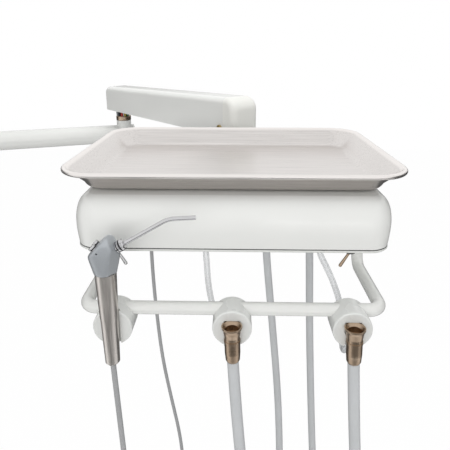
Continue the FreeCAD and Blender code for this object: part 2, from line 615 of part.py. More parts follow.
# balance spring on its rod, and the brake screw on the viewer's side
piece = Piece("spring_rod", "hub")
piece.rod_x("0", "rod_z", "rod_d / 2", "rod_start", "rod_long")
for start in ("rod_start", "rod_start + rod_long - lug_thick"):
    piece.block(across(start, f"{start} + lug_thick", "lug_wide"), "floor_top", "rod_up")
for start in ("spring_start - stop_thick", "spring_start + spring_long"):
    piece.rod_x("0", "rod_z", "stop_d / 2", start, "stop_thick")
piece = Piece("balance_spring", "hub")
piece.rod_x("0", "rod_z", "spring_d / 2", "spring_start", "spring_long")
piece.rod_x("0", "rod_z", "spring_bore / 2", "spring_start", "spring_long", cut=True)
piece = Piece("brake_screw", "hub")
BRAKE = [("brake_u", "arm_low + brake_up")]
piece.rod_y(BRAKE, "brake_d / 2", "0 - arm_wide / 2", "brake_proud")
piece.fillet("brake_edge", lambda edge: on(edge, "Y", "0 - arm_wide / 2 - brake_proud"))
piece.rod_y(BRAKE, "brake_shank_d / 2", "arm_wall - arm_wide / 2", "arm_wall")

# front spindle in the head's socket
POST = ("post_x", "post_y")
FRONT_RING_LOW = "socket_low - seat_gap - ring_thick"
spindle("front_spindle", "head", POST, f"{FRONT_RING_LOW} - ring_end",
        "knuckle_low + spindle_grip - rim_z")
retainer("front_retainer", "head", POST, FRONT_RING_LOW)
bushes("socket_bushes", "head", POST, "socket_low", "socket_top")
piece = Piece("head_bracket", "head")
STRAP_X = ("post_x - strap_wide / 2", "post_x + strap_wide / 2")


def plan(left, right, front, rear):
    return [(left, front), (right, front), (right, rear), (left, rear)]


piece.block(plan(*STRAP_X, "strap_front", "post_y"), "plate_top", "strap_thick")
piece.discs([POST], "strap_wide / 2", "plate_top", "strap_thick")
piece.discs([POST], "socket_d / 2", "socket_low", "socket_tall")
piece.discs([POST], "bush_r", "socket_low - overrun", "socket_tall + 2 * overrun", cut=True)
STRAP_SCREWS = [(f"post_x {side} strap_screw_x", y) for side in "-+" for y in ("strap_screw_front",
                                                                               "strap_screw_rear")]
piece.discs(STRAP_SCREWS, "strap_screw_r + hole_gap", "plate_top", "strap_thick", cut=True)
piece = Piece("bracket_screws", "head")
piece.discs(STRAP_SCREWS, "strap_head_r", "plate_top + strap_thick", "strap_head_tall")
piece.discs(STRAP_SCREWS, "strap_screw_r", "plate_low + hole_gap", "plate_thick + strap_thick - hole_gap")

# head cover: a shell with barrel sides, four screw bosses and a notch for the bracket
CORNERS = [(x, y) for x in ("0 - boss_x", "boss_x") for y in ("boss_front", "boss_rear")]


def cover_sections(inset, tall):
    """The cover's sections from foot to top, drawn in by a wall."""
    sections = []
    for share, draw in zip(COVER_HEIGHT_SHARES, COVER_INSETS):
        draw_in = f"({draw} + {inset})"
        outline = ("0", "cover_mid", f"cover_wide - 2 * {draw_in}", f"cover_deep - 2 * {draw_in}",
                   f"cover_corner - {draw_in}")
        sections.append((f"plate_top + {share} * ({tall})", outline))
    return sections


piece = Piece("head_cover", "head")
piece.loft(cover_sections("0", "cover_tall"))
piece.loft(cover_sections("cover_wall", "cover_tall - cover_wall"), cut=True)
piece.discs(CORNERS, "boss_r", "plate_top", "cover_tall - cover_wall / 2")
piece.discs(CORNERS, "screw_r", "plate_top", "screw_grip + screw_spare", cut=True)
piece.block(plan(*(f"{x} {side} side_gap" for x, side in zip(STRAP_X, "-+")), "cover_mid",
                 "cover_front + cover_deep + overrun"),
            "plate_top - overrun", "strap_thick + side_gap + overrun", cut=True)
piece = Piece("base_plate", "head")
piece.rounded_block(("0", "cover_mid", "plate_wide", "plate_deep", "plate_corner"), "plate_low",
                    "plate_thick")
piece.fillet("plate_edge", lambda edge: on(edge, "Z", "plate_low"))
BAR_FEET = [("0 - bar_span / 2", "bar_rear"), ("bar_span / 2", "bar_rear")]
EXITS = [("line_exit_x", "exit_y"), ("mid_exit_x", "exit_y"), ("right_exit_x", "exit_y")]
FITTINGS = [("mid_fitting_x", "fitting_y"), ("right_fitting_x", "fitting_y")]
for spots, r in ((CORNERS, "screw_r + hole_gap"), (STRAP_SCREWS, "strap_screw_r"),
                 (BAR_FEET, "bar_screw_r + hole_gap"),
                 (EXITS, "gland_neck_r"), (FITTINGS, "fitting_neck_r")):
    piece.discs(spots, r, "plate_low - overrun", "plate_thick + 2 * overrun", cut=True)
piece = Piece("cover_screws", "head")
piece.discs(CORNERS, "screw_head_r", "plate_low - screw_head_tall", "screw_head_tall")
piece.discs(CORNERS, "screw_r", "plate_low", "plate_thick + screw_grip")
piece = Piece("tray_pads", "head")
piece.discs([(x, y) for x in ("0 - pad_x", "pad_x") for y in ("pad_front", "pad_rear")], "pad_r",
            "cover_top", "pad_tall")
piece = Piece("control_block", "head")
BLOCK_MID = "block_front + block_deep / 2"
piece.block(plan("0 - block_wide / 2", "block_wide / 2", "block_front", "block_front + block_deep"),
            "plate_top", "block_tall")
piece.fillet("block_edge", upright)
piece.discs([(f"{count} * turret_pitch", BLOCK_MID) for count in (-1, 0, 1)], "turret_r",
            "plate_top + block_tall", "turret_tall")
piece = Piece("hose_glands", "head")
piece.discs(EXITS, "gland_r", "plate_low - gland_tall", "gland_tall")
piece.discs(EXITS, "gland_neck_r", "plate_low", "plate_thick + gland_up")
piece = Piece("tube_fittings", "head")
piece.discs(FITTINGS, "fitting_r", "plate_low - fitting_tall", "fitting_tall")
piece.discs(FITTINGS, "fitting_neck_r", "plate_low", "plate_thick + gland_up")

# tray: pressed sheet with a flange, sloping walls and a turned-down lip
piece = Piece("tray", "head")
TRAY_MID = "tray_deep / 2"


def tray_outline(draw_in, corner):
    return ("0", TRAY_MID, f"tray_wide - 2 * ({draw_in})", f"tray_deep - 2 * ({draw_in})", corner)


PAN_CORNER, PAN_LOW = "tray_corner - tray_flange", "tray_flange + tray_slope"
piece.rounded_block(tray_outline("0", "tray_corner"), "0 - tray_lip", "tray_lip")
piece.fillet("tray_sheet", lambda edge: on(edge, "Z", "0"))
piece.rounded_block(tray_outline("tray_sheet", "tray_corner - tray_sheet"), "0 - tray_lip",
                    "tray_lip - tray_sheet", cut=True)
piece.loft([("0 - tray_sheet", tray_outline("tray_flange", PAN_CORNER)),
            ("tray_low", tray_outline(PAN_LOW, "tray_low_corner"))],
           ruled=True)
piece.loft([("0", tray_outline("tray_flange + tray_sheet", f"{PAN_CORNER} - tray_sheet")),
            ("tray_low + tray_sheet", tray_outline(f"{PAN_LOW} + tray_sheet",
                                                   "tray_low_corner - tray_sheet"))],
           cut=True, ruled=True)

# holder bar: two risers, two legs and the front rail in one bent bar
BAR_R = val("bar_d") / 2
bar_corners = [point(x, y, z) for x, y, z in (
    ("0 - bar_span / 2", "bar_rear", "plate_low"), ("0 - bar_span / 2", "bar_rear", "bar_z"),
    ("0 - bar_span / 2", "bar_y", "bar_z"), ("bar_span / 2", "bar_y", "bar_z"),
    ("bar_span / 2", "bar_rear", "bar_z"), ("bar_span / 2", "bar_rear", "plate_low"))]
bar_shape, *_ = tube(bar_corners, val("bar_d"), val("bar_bend"))
for foot in (bar_corners[0], bar_corners[-1]):
    bar_shape = bar_shape.cut(Part.makeCylinder(val("bar_screw_r"), val("bar_screw_grip + screw_spare"),
                                                foot, UP * -1))
swept("holder_bar", "head", bar_shape)
piece = Piece("bar_screws", "head")
piece.discs(BAR_FEET, "bar_head_r", "plate_top", "bar_head_tall")
piece.discs(BAR_FEET, "bar_screw_r", "plate_low - bar_screw_grip", "bar_screw_grip + plate_thick")


def holder(label, x, nest):
    """A round holder on the bar, with a nest in its face, open at the bottom, for one instrument."""
    made = Piece(label, "head")
    low, deep = "holder_low - overrun", "nest_deep + overrun"
    made.rod_y([(x, "holder_z")], "holder_d / 2", "holder_back", "holder_long")
    made.fillet("holder_edge", lambda edge: on(edge, "Y", "holder_face"))
    middle, lip_z = f"nest_floor - ({deep}) / 2", "holder_z - lip_down"
    half = "slot_wide / 2" if nest else "groove_wide / 2"
    shoulder = [("nest_half", "hang_z + term_top + nest_over"), ("nest_half", "holder_z - nest_low"),
                (half, "holder_z - slot_start")] if nest else [(half,
                                                                "holder_z + holder_d / 2 + overrun")]
    right = shoulder + [(half, lip_z), ("lip_wide / 2", low)]
    made.side([(f"{x} + {out}", z) for out, z in right] + [(f"{x} - {out}", z) for out,
                                                           z in reversed(right)],
              deep, cut=True, y=middle)
    made.rod_x("bar_y", "bar_z", "bar_d / 2 + run_gap", f"{x} - holder_d", "2 * holder_d", cut=True)
    made.discs([(f"{x} + grub_x", "bar_y")], "grub_r", low, f"bar_z - ({low})", cut=True)
    if nest:
        made.rod_y([(x, "holder_z - valve_down")], "valve_r + run_gap",
                   "nest_floor + valve_long - valve_proud + valve_free",
                   "valve_long - valve_proud + valve_free", cut=True)
        made.discs([(x, "barb_y")], "barb_r", "holder_low - barb_long", "barb_long + barb_r")


HOLDERS = (("holder_left", "(0 - holder_pitch)", False), ("holder_mid", "0", True),
           ("holder_right", "holder_pitch", True))
for label, x, nest in HOLDERS:
    holder(label, x, nest)
piece = Piece("holder_screws", "head")
piece.discs([(f"{x} + grub_x", "bar_y") for label, x, nest in HOLDERS], "grub_r",
            "bar_z - bar_d / 2 - grub_long", "grub_long")
for label, x in (("valve_mid", "0"), ("valve_right", "holder_pitch")):
    piece = Piece(label, "head")
    piece.rod_y([(x, "holder_z - valve_down")], "valve_r", "nest_floor + valve_long - valve_proud",
                "valve_long")
    piece.fillet("valve_edge", lambda edge: on(edge, "Y", "nest_floor - valve_proud"))

# hose terminals: a flared body with a ported mouth, and a skirt with its seam ring
for label in ("terminal_mid", "terminal_right"):
    piece = Piece(label, label)
    piece.turned([("flare_r", "term_top"), ("flare_r", "term_top - flare_lip"), ("bell_r", "bell_up"),
                  ("body_r", "0 - flare_low"),
                  ("body_r", "0 - seam_down"), ("0", "0 - seam_down"), ("0", "mouth_floor"),
                  ("mouth_in_r", "mouth_floor"), ("mouth_in_r", "term_top - mouth_cone"),
                  ("mouth_r", "term_top")])
    for r, spots in (("port_big_r", [("port_ring", "0"), ("0 - port_ring", "0")]),
                     ("port_small_r", [("0", "port_ring"), ("0", "0 - port_ring")])):
        piece.discs(spots, r, "mouth_floor - port_deep", "port_deep + overrun", cut=True)
    piece = Piece(label + "_skirt", label)
    piece.turned([("0", "0 - seam_down"), ("seam_r", "0 - seam_down"),
                  ("seam_r", "0 - seam_down - seam_tall"),
                  ("body_r", "0 - seam_down - seam_tall"), ("body_r", "skirt_taper - term_low"),
                  ("skirt_r", "skirt_edge - term_low"), ("skirt_end_r", "0 - term_low"),
                  ("0", "0 - term_low")])

# three-way syringe: cast body, tapered handle, two buttons, nut and turning tip
piece = Piece("syringe_handle", "syringe")
STEP_R = "(grip_low_r + (grip_top_r - grip_low_r) * (grip_low + grip_step_up) / (grip_low + grip_top))"
piece.turned([("0", "0 - grip_low"), ("grip_end_r", "0 - grip_low"),
              ("grip_low_r", "grip_edge - grip_low"),
              (f"{STEP_R} - grip_step", "grip_step_up"), (STEP_R, "grip_step_up + grip_step"),
              ("grip_top_r", "grip_top"),
              ("0", "grip_top")])
piece = Piece("syringe_body", "syringe")
piece.side([("0 - body_neck", "grip_top"), ("body_neck", "grip_top"), ("body_side", "body_side_up"),
            ("facet_out", "facet_low"), ("crown_right", "body_top - crown_drop"),
            ("0 - crown_left", "body_top"),
            ("body_shoulder_in - body_side", "body_shoulder"), ("0 - body_side", "body_side_up")],
            "body_wide")
piece.fillet("body_edge", lambda edge: not on(edge, "Z", "grip_top"))
for side in "-+":
    piece.bore_in("slope_x", f"0 {side} button_pitch / 2", "slope_z", "0 - button_slope",
                  "button_r + run_gap", "button_deep")
piece.bore_in("facet_x", "0", "facet_z", "90 - tip_rise", "tip_d / 2 + run_gap", "tip_seat + seat_gap")
piece.rod_y([("0 - dimple_x", "dimple_up")], "dimple_r", "dimple_deep - body_wide / 2",
            "dimple_deep + overrun", cut=True)
for label, frame in (("air_button", "air"), ("water_button", "water")):
    piece = Piece(label, frame)
    piece.turned([("0", "0 - button_grip"), ("button_r", "0 - button_grip"),
                  ("button_r", "button_proud - button_edge"),
                  ("button_r - button_edge", "button_proud"), ("0", "button_proud")])
piece = Piece("tip_nut", "tip")
piece.turned([("tip_d / 2 + run_gap", "0"), ("nut_r", "0"), ("nut_r", "nut_long - nut_edge"),
              ("nut_r - nut_edge", "nut_long"), ("tip_d / 2 + run_gap", "nut_long")])
tip_corners = [point("0", "0", "0 - tip_seat"), point("0", "0", "tip_straight"),
               point("tip_end * sin(tip_turn)", "0", "tip_straight + tip_end * cos(tip_turn)")]
tip_shape, *_ = tube(tip_corners, val("tip_d"), val("tip_bend"))
swept("syringe_tip", "tip", tip_shape)

# toggle valves under the plate's front edge
TOGGLES = [("0 - toggle_x", "toggle_y"), ("toggle_x", "toggle_y")]
piece = Piece("toggle_rings", "head")
piece.discs(TOGGLES, "toggle_ring_r", "plate_low - toggle_ring_tall", "toggle_ring_tall")
piece.discs(TOGGLES, "toggle_bore_r", "plate_low - toggle_ring_tall", "toggle_ring_tall", cut=True)
for label in ("toggle_left", "toggle_right"):
    piece = Piece(label, label)
    slant = "toggle_ball_r * cos(45)"
    piece.turned([("0", "0 - toggle_ball_r"), (slant, f"0 - {slant}"), ("toggle_ball_r", "0"),
                  (slant, slant),
                  ("toggle_neck_r", "2 * " + slant), ("toggle_end_r", "toggle_long - toggle_end_r"),
                  ("toggle_end_r * cos(45)", "toggle_long - toggle_end_r * (1 - cos(45))"),
                  ("0", "toggle_long")])

# hoses and clear tubes: hand-chosen points of their hanging routes, from the base plate to the instruments
HOSES = {
    "syringe_hose": ("line_d", [
        (-120, 215, -85.5), (-119.5, 215.5, -152), (-117, 216, -224), (-113, 216, -296), (-107.5, 215, -368),
        (-101, 212, -440), (-94, 204, -508), (-88, 187, -568), (-84, 157, -615), (-83, 115, -641),
        (-86, 68, -645), (-91, 24, -625), (-96, -12, -583), (-100.5, -32, -520), (-104, -39.5, -450),
        (-106.8, -40.5, -378), (-109, -39, -306), (-110.8, -36.5, -235), (-111.8, -34.5, -174.5)]),
    "mid_hose": ("hose_d", [
        (43, 215, -85.5), (45, 216, -165), (58, 216, -300), (71, 211, -430), (77, 192, -540),
        (74, 149, -618), (62, 90, -648), (47, 30, -625), (36, -17, -552), (25, -34, -450), (15, -35.5, -345),
        (5, -35, -238), (0.9, -34.5, -170.1)]),
    "right_hose": ("hose_d", [
        (107, 215, -85.5), (108.5, 216, -165), (114, 216, -300), (121, 211, -430), (127, 192, -540),
        (131, 149, -618), (135, 90, -648), (139, 30, -625), (141, -17, -552), (137, -34, -450),
        (129, -35.5, -345), (118, -35, -238), (112.9, -34.5, -170.1)]),
    "clear_tube_mid": ("clear_d", [
        (-29, 37, -81.5), (-29, 37, -103), (-27.8, 37.1, -128), (-24.8, 36.8, -153), (-20.5, 35, -178),
        (-16.6, 26.8, -191), (-10.3, 13.5, -196.5), (-3.9, 0.2, -192.4), (0, -8, -180.3), (0, -8, -165)]),
    "clear_tube_right": ("clear_d", [
        (88, 37, -81.5), (88, 37, -94), (95.2, 37.8, -112), (103, 38.3, -131.5), (110, 38.6, -152.5),
        (115, 38.2, -176), (115.5, 29.4, -190), (114.5, 15.1, -195.5), (113, 0.8, -191.4),
        (112, -8, -179.5), (112, -8, -165)]),
}
for label, (diameter, route) in HOSES.items():
    shape, length, tightest, ratio = tube([V(*spot) for spot in route], val(diameter))
    print(f"{label}: length {length:.0f}, tightest bend {tightest:.0f}, volume ratio {ratio:.4f}")
    swept(label, "head", shape)

doc.recompute()
for made in doc.Objects:
    if {"Invalid", "Error"} & set(made.State):
        raise ValueError(f"{made.Label}: {made.State}")
for made in NODES:
    if made.Shape.isNull() or not made.Shape.isValid() or not made.Shape.Solids:
        raise ValueError(f"{made.Label}: no valid solid")
os.makedirs("parts", exist_ok=True)
for made in NODES:
    made.Shape.exportStep(f"parts/{made.Label}.step")
print(len(NODES), "nodes")
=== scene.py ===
"""Looks of the dental delivery unit, laid out as an add-on.

It makes the finishes, the hoses, the small fittings and the studio.
"""
import json
import math

import bmesh
import bpy
from bpy.props import FloatProperty, FloatVectorProperty, IntProperty, PointerProperty
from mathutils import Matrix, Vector


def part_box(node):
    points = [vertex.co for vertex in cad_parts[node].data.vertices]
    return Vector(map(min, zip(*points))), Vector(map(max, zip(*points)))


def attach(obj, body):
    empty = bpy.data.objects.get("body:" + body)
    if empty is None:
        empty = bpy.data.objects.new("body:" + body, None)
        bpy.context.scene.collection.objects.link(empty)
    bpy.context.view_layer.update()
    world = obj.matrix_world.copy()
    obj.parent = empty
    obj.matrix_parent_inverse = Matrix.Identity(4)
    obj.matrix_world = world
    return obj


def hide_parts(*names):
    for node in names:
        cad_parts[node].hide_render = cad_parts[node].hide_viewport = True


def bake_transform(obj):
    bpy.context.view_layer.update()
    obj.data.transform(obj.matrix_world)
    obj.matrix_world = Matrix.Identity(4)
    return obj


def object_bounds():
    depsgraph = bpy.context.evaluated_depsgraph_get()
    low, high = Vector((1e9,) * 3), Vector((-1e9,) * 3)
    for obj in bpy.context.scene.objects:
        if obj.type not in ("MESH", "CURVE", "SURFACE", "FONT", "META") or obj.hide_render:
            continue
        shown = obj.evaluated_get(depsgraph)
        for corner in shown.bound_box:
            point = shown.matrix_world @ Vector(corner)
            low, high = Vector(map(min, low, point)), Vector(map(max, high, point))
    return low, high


bl_info = {
    "name": "Delivery unit looks",
    "version": (1, 0, 0),
    "blender": (4, 5, 0),
    "location": "View3D > Sidebar > Delivery unit",
    "description": "Dresses the dental delivery unit: finishes, hoses, small fittings and a studio",
    "category": "Object",
}

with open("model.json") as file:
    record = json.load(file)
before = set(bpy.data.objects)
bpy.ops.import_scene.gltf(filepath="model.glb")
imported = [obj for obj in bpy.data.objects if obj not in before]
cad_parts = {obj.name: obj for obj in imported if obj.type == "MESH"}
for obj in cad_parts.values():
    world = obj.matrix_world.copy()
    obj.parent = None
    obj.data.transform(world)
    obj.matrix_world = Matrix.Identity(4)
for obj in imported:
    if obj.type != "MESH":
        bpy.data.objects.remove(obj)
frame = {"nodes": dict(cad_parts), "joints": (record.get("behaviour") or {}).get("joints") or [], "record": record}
CAD_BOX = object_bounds()
JOINTS = {joint["name"]: joint for joint in frame["joints"]}
SLOT_OF = {part["node"]: part["material_slot"] for part in frame["record"]["subparts"]}
TRAY_LOW, TRAY_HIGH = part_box("tray")
# the head's own frame: the middle of the tray's front rim
HEAD = Vector(((TRAY_LOW.x + TRAY_HIGH.x) / 2, TRAY_LOW.y, TRAY_HIGH.z))
UP = Vector((0, 0, 1))
WHITE = (1, 1, 1, 1)
# heights between which the tray's rim is painted lighter: a painted highlight along the rolled bead
PAINTED_RIM_HIGHLIGHT = (TRAY_HIGH.z - 0.0032, TRAY_HIGH.z - 0.0016)
# an edge that bends further than this stays sharp
SHARP = math.radians(35)
# points of the smooth line for each point of a route
ROUTE_STEPS = 10
# faces round a small turned part
TURNED_SIDES = 40
SUPPLY = ("supply_grey", "supply_black", "supply_red", "supply_yellow", "supply_green")

# hanging routes in the head's frame, in metres
ROUTES = {
    "syringe_hose": [
        (-0.12, 0.215, -0.0855), (-0.1212, 0.2155, -0.152), (-0.1204, 0.216, -0.224),
        (-0.1167, 0.216, -0.296), (-0.1108, 0.215, -0.368), (-0.0987, 0.212, -0.44),
        (-0.0845, 0.204, -0.508), (-0.0777, 0.187, -0.568), (-0.0745, 0.157, -0.615),
        (-0.075, 0.115, -0.641), (-0.0785, 0.068, -0.645), (-0.0835, 0.024, -0.625),
        (-0.088, -0.012, -0.583), (-0.0915, -0.032, -0.52), (-0.0957, -0.0395, -0.45),
        (-0.1005, -0.0405, -0.378), (-0.105, -0.039, -0.306), (-0.1088, -0.0365, -0.235),
        (-0.1118, -0.0345, -0.1745)],
    "mid_hose": [
        (0.043, 0.215, -0.0855), (0.047, 0.216, -0.165), (0.061, 0.216, -0.3), (0.0735, 0.211, -0.43),
        (0.078, 0.192, -0.54), (0.0745, 0.149, -0.618), (0.0625, 0.09, -0.648), (0.048, 0.03, -0.625),
        (0.037, -0.017, -0.552), (0.0262, -0.034, -0.45), (0.0155, -0.0355, -0.345),
        (0.005, -0.035, -0.238), (0.0009, -0.0345, -0.1701)],
    "right_hose": [
        (0.107, 0.215, -0.0855), (0.112, 0.216, -0.165), (0.1182, 0.216, -0.3), (0.1258, 0.211, -0.43),
        (0.131, 0.192, -0.54), (0.134, 0.149, -0.618), (0.137, 0.09, -0.648), (0.14, 0.03, -0.625),
        (0.141, -0.017, -0.552), (0.137, -0.034, -0.45), (0.129, -0.0355, -0.345),
        (0.118, -0.035, -0.238), (0.1129, -0.0345, -0.1701)],
    "clear_tube_mid": [
        (-0.029, 0.037, -0.0815), (-0.0272, 0.037, -0.103), (-0.0262, 0.0371, -0.128),
        (-0.0235, 0.037, -0.148), (-0.0195, 0.037, -0.164), (-0.0145, 0.0345, -0.178),
        (-0.0095, 0.0255, -0.1865), (-0.0055, 0.0145, -0.1893), (-0.0025, 0.0035, -0.1865),
        (-0.0005, -0.0055, -0.178), (0, -0.008, -0.165)],
    "clear_tube_right": [
        (0.088, 0.037, -0.0815), (0.0895, 0.037, -0.094), (0.0992, 0.0374, -0.112),
        (0.108, 0.0376, -0.1315), (0.1145, 0.0374, -0.15), (0.1165, 0.037, -0.165),
        (0.1165, 0.0345, -0.178), (0.116, 0.0255, -0.1865), (0.115, 0.0145, -0.1893),
        (0.1135, 0.0035, -0.1865), (0.1122, -0.0055, -0.178), (0.112, -0.008, -0.165)],
}


def size_of(name, description, default):
    """A length that a user can change."""
    return FloatProperty(name=name, description=description, default=default, unit="LENGTH", precision=5)


def angle_of(name, description, degrees):
    """An angle, given in degrees."""
    return FloatProperty(name=name, description=description, default=math.radians(degrees), subtype="ANGLE")


def power_of(name, description, default):
    """A lamp's power."""
    return FloatProperty(name=name, description=description, default=default, unit="POWER")


def number_of(name, description, default):
    """A number without a unit, or with one that its description gives."""
    return FloatProperty(name=name, description=description, default=default)


def count_of(name, description, default):
    """A whole number."""
    return IntProperty(name=name, description=description, default=default)


def colour_of(name, description, *default):
    """A finish's colour."""
    return FloatVectorProperty(
        name=name, description=description, default=default, subtype="COLOR", min=0, max=1)


class StudioSettings(bpy.types.PropertyGroup):
    """Camera and light"""

    camera_place: FloatVectorProperty(
        name="Camera", description="Camera's place in the head's frame", default=(0.0014, -0.3925, 0.1149),
        subtype="XYZ", unit="LENGTH")
    camera_dip: angle_of("Dip", "How far the camera looks down", 15)
    camera_turn: angle_of("Turn", "How far the camera looks to the left", 1.25)
    lens: number_of("Lens", "Focal length in millimetres", 35.96)
    shift: number_of("Shift", "Upright shift of the picture", -0.134)
    floor_drop: size_of("Floor drop", "Height of the lowest hose above the floor", 0.25)
    floor_wide: size_of("Floor", "Width of the floor", 8.0)
    floor_colour: colour_of("Floor colour", "Pale floor", 0.9, 0.9, 0.9)
    floor_glow: number_of("Floor glow", "How far the floor is lit to pure white", 0.985)
    ambient: number_of("Ambient", "Strength of the light from all round", 0.5)
    front_power: power_of("Front", "Power of the lamp near the camera", 10)
    top_power: power_of("Top", "Power of the lamp overhead", 12)
    side_power: power_of("Side", "Power of the lamp at the right", 1.2)
    flag_shade: number_of("Flags", "Shade of the dark cards that metals reflect", 0.08)


class FinishSettings(bpy.types.PropertyGroup):
    """Colours of the finishes"""

    white_paint: colour_of("White paint", "Powder coat of tubes and bar", 0.83, 0.835, 0.81)
    white_plastic: colour_of("White plastic", "Moulded covers", 0.88, 0.885, 0.86)
    cream_plastic: colour_of("Cream plastic", "Front cap of the lift arm", 0.88, 0.88, 0.84)
    white_plate: colour_of("White plate", "Coated base plate", 0.78, 0.79, 0.76)
    holder: colour_of("Holders", "Moulded holders", 0.80, 0.81, 0.79)
    tray_steel: colour_of("Tray steel", "Brushed stainless sheet", 0.74, 0.71, 0.69)
    steel: colour_of("Steel", "Machined steel", 0.60, 0.61, 0.62)
    handle_steel: colour_of("Handle steel", "Syringe handle", 0.74, 0.70, 0.66)
    cast_grey: colour_of("Cast grey", "Satin syringe body", 0.43, 0.455, 0.48)
    chrome: colour_of("Chrome", "Polished fittings", 0.62, 0.62, 0.63)
    bronze: colour_of("Bronze", "Tinted terminals", 0.50, 0.375, 0.27)
    brass: colour_of("Brass", "Dull screw", 0.50, 0.38, 0.18)
    hose_grey: colour_of("Hose grey", "Silicone hoses", 0.60, 0.615, 0.625)
    line_grey: colour_of("Line grey", "Thin hose of the syringe", 0.40, 0.405, 0.41)
    clear: colour_of("Clear", "Clear valve tubes", 0.88, 0.90, 0.92)
    black_rubber: colour_of("Black rubber", "Seals and pads", 0.03, 0.03, 0.033)
    alloy: colour_of("Alloy", "Machined alloy", 0.58, 0.59, 0.61)
    bush: colour_of("Bush", "Acetal bushes", 0.06, 0.06, 0.06)
    supply_grey: colour_of("Supply grey", "First tube at the hub", 0.32, 0.33, 0.34)
    supply_black: colour_of("Supply black", "Second tube at the hub", 0.02, 0.02, 0.022)
    supply_red: colour_of("Supply red", "Third tube at the hub", 0.42, 0.04, 0.03)
    supply_yellow: colour_of("Supply yellow", "Fourth tube at the hub", 0.38, 0.3, 0.06)
    supply_green: colour_of("Supply green", "Fifth tube at the hub", 0.04, 0.14, 0.07)


class CordSettings(bpy.types.PropertyGroup):
    """Hoses and tubes"""

    hose: size_of("Hose", "Diameter of the two hoses", 0.011)
    line: size_of("Line", "Diameter of the syringe's hose", 0.0052)
    clear: size_of("Clear tube", "Diameter of the clear tubes", 0.00635)
    clear_wall: size_of("Clear wall", "Wall of the clear tubes", 0.0012)
    ease: size_of("Ease", "How far inside its ends a hose starts to follow both bodies", 0.02)
    sides: count_of("Sides", "Faces round a hose", 28)


class FittingSettings(bpy.types.PropertyGroup):
    """Small fittings"""

    nut_r: size_of("Nut radius", "Radius of the knurled nut", 0.0052)
    nut_long: size_of("Nut length", "Length of the knurled nut", 0.008)
    knurl_deep: size_of("Knurl depth", "Depth of the nut's knurl", 0.0004)
    knurls: count_of("Knurls", "Ridges round the nut", 32)
    button_r: size_of("Button radius", "Radius of the syringe's buttons", 0.0034)
    button_proud: size_of("Button height", "How far a button stands out of the body", 0.0034)
    button_grip: size_of("Button grip", "How far a button reaches into the body", 0.004)
    # the seam is a dark band, a painted shadow line between cover and plate
    seam_tall: size_of("Seam", "Height of the seal over the edging", 0.0012)
    seam_back: size_of("Seam depth", "How far the seal lies behind the edging", 0.0004)
    edging_in: size_of("Edging", "How far the edging lies behind the cover's widest line", 0.0019)
    edging_stand: size_of("Edging stand", "Thickness of the edging at the plate's ends", 0.0006)
    edging_bend: size_of("Edging edge", "Chamfer of the edging's lower edge", 0.0008)
    plate_corner: size_of("Plate corner", "Corner radius of the base plate", 0.022)
    supply_r: size_of("Supply radius", "Radius of the coloured tubes at the hub", 0.0022)
    supply_ring: size_of("Supply ring", "Distance of the tubes from the hub's axis", 0.0126)
    supply_bow: size_of("Supply bow", "How far the tubes bow outward at mid height", 0.0006)
    supply_first: angle_of("Supply first", "Place of the first tube round the hub", 257)
    supply_step: angle_of("Supply step", "Angle from one tube to the next", 30)
    supply_sides: count_of("Supply sides", "Faces round a coloured tube", 20)


class SyringeSettings(bpy.types.PropertyGroup):
    """Cast body of the syringe"""

    lean: angle_of("Lean", "Lean of the syringe", 0.4)
    tip_out: size_of("Tip out", "Distance of the tip's seat from the handle's axis", 0.0118)
    tip_up: size_of("Tip height", "Height of the tip's seat on the handle's axis", 0.084)
    tip_bore: size_of("Tip bore", "Radius of the tip in its bore", 0.0019)
    tip_deep: size_of("Tip depth", "Depth of the tip's bore", 0.0095)
    play: size_of("Play", "Room round what sits in the body's bores", 0.0001)
    neck_low: size_of("Neck foot", "Height at which the steel neck starts", 0.0535)
    neck_r: size_of("Neck radius", "Radius of the steel neck", 0.0095)
    foot_up: size_of("Foot", "Height of the body's foot", 0.06)
    foot_r: size_of("Foot radius", "Radius of the body's foot", 0.0101)
    side_up: size_of("Side height", "Height of the widest place", 0.0785)
    side_r: size_of("Side radius", "Half the width at the widest place", 0.0147)
    side_deep: size_of("Side depth", "Half the depth at the widest place", 0.0106)
    top_up: size_of("Top", "Height of the dome", 0.0955)
    top_bend: size_of("Top bend", "Bend of the dome from front to rear", 0.012)
    soft: size_of("Edge", "Softness of the body's edges", 0.0011)
    flat_out: size_of("Flat", "Distance of the flats beside the tip", 0.0117)
    dimple_r: size_of("Dimple", "Radius of the small hole in the front", 0.0009)
    dimple_up: size_of("Dimple height", "Height of the small hole", 0.0825)
    dimple_out: size_of("Dimple out", "Distance of the small hole from the axis", -0.0035)
    dimple_deep: size_of("Dimple depth", "Depth of the small hole", 0.0032)
    rows: count_of("Rows", "Rows of faces from foot to top", 60)
    sides: count_of("Sides", "Faces round the body", 112)
    neck_sides: count_of("Neck sides", "Faces round the steel neck", 64)


class TraySettings(bpy.types.PropertyGroup):
    """Pressed tray"""

    bead_r: size_of("Bead radius", "Radius of the rolled rim", 0.0025)
    rim_corner: size_of("Rim corner", "Corner radius of the rim", 0.038)
    floor_corner: size_of("Floor corner", "Corner radius at the foot of the walls", 0.02)
    wall_in: size_of("Wall", "How far in the walls end", 0.024)
    sheet: size_of("Sheet", "Thickness of the sheet", 0.0012)
    bend: size_of("Bend", "Radius between the walls and the floor", 0.014)
    foot_bend: size_of("Foot bend", "Radius under the foot of the walls", 0.006)
    corner_steps: count_of("Corner steps", "Faces round a corner", 14)


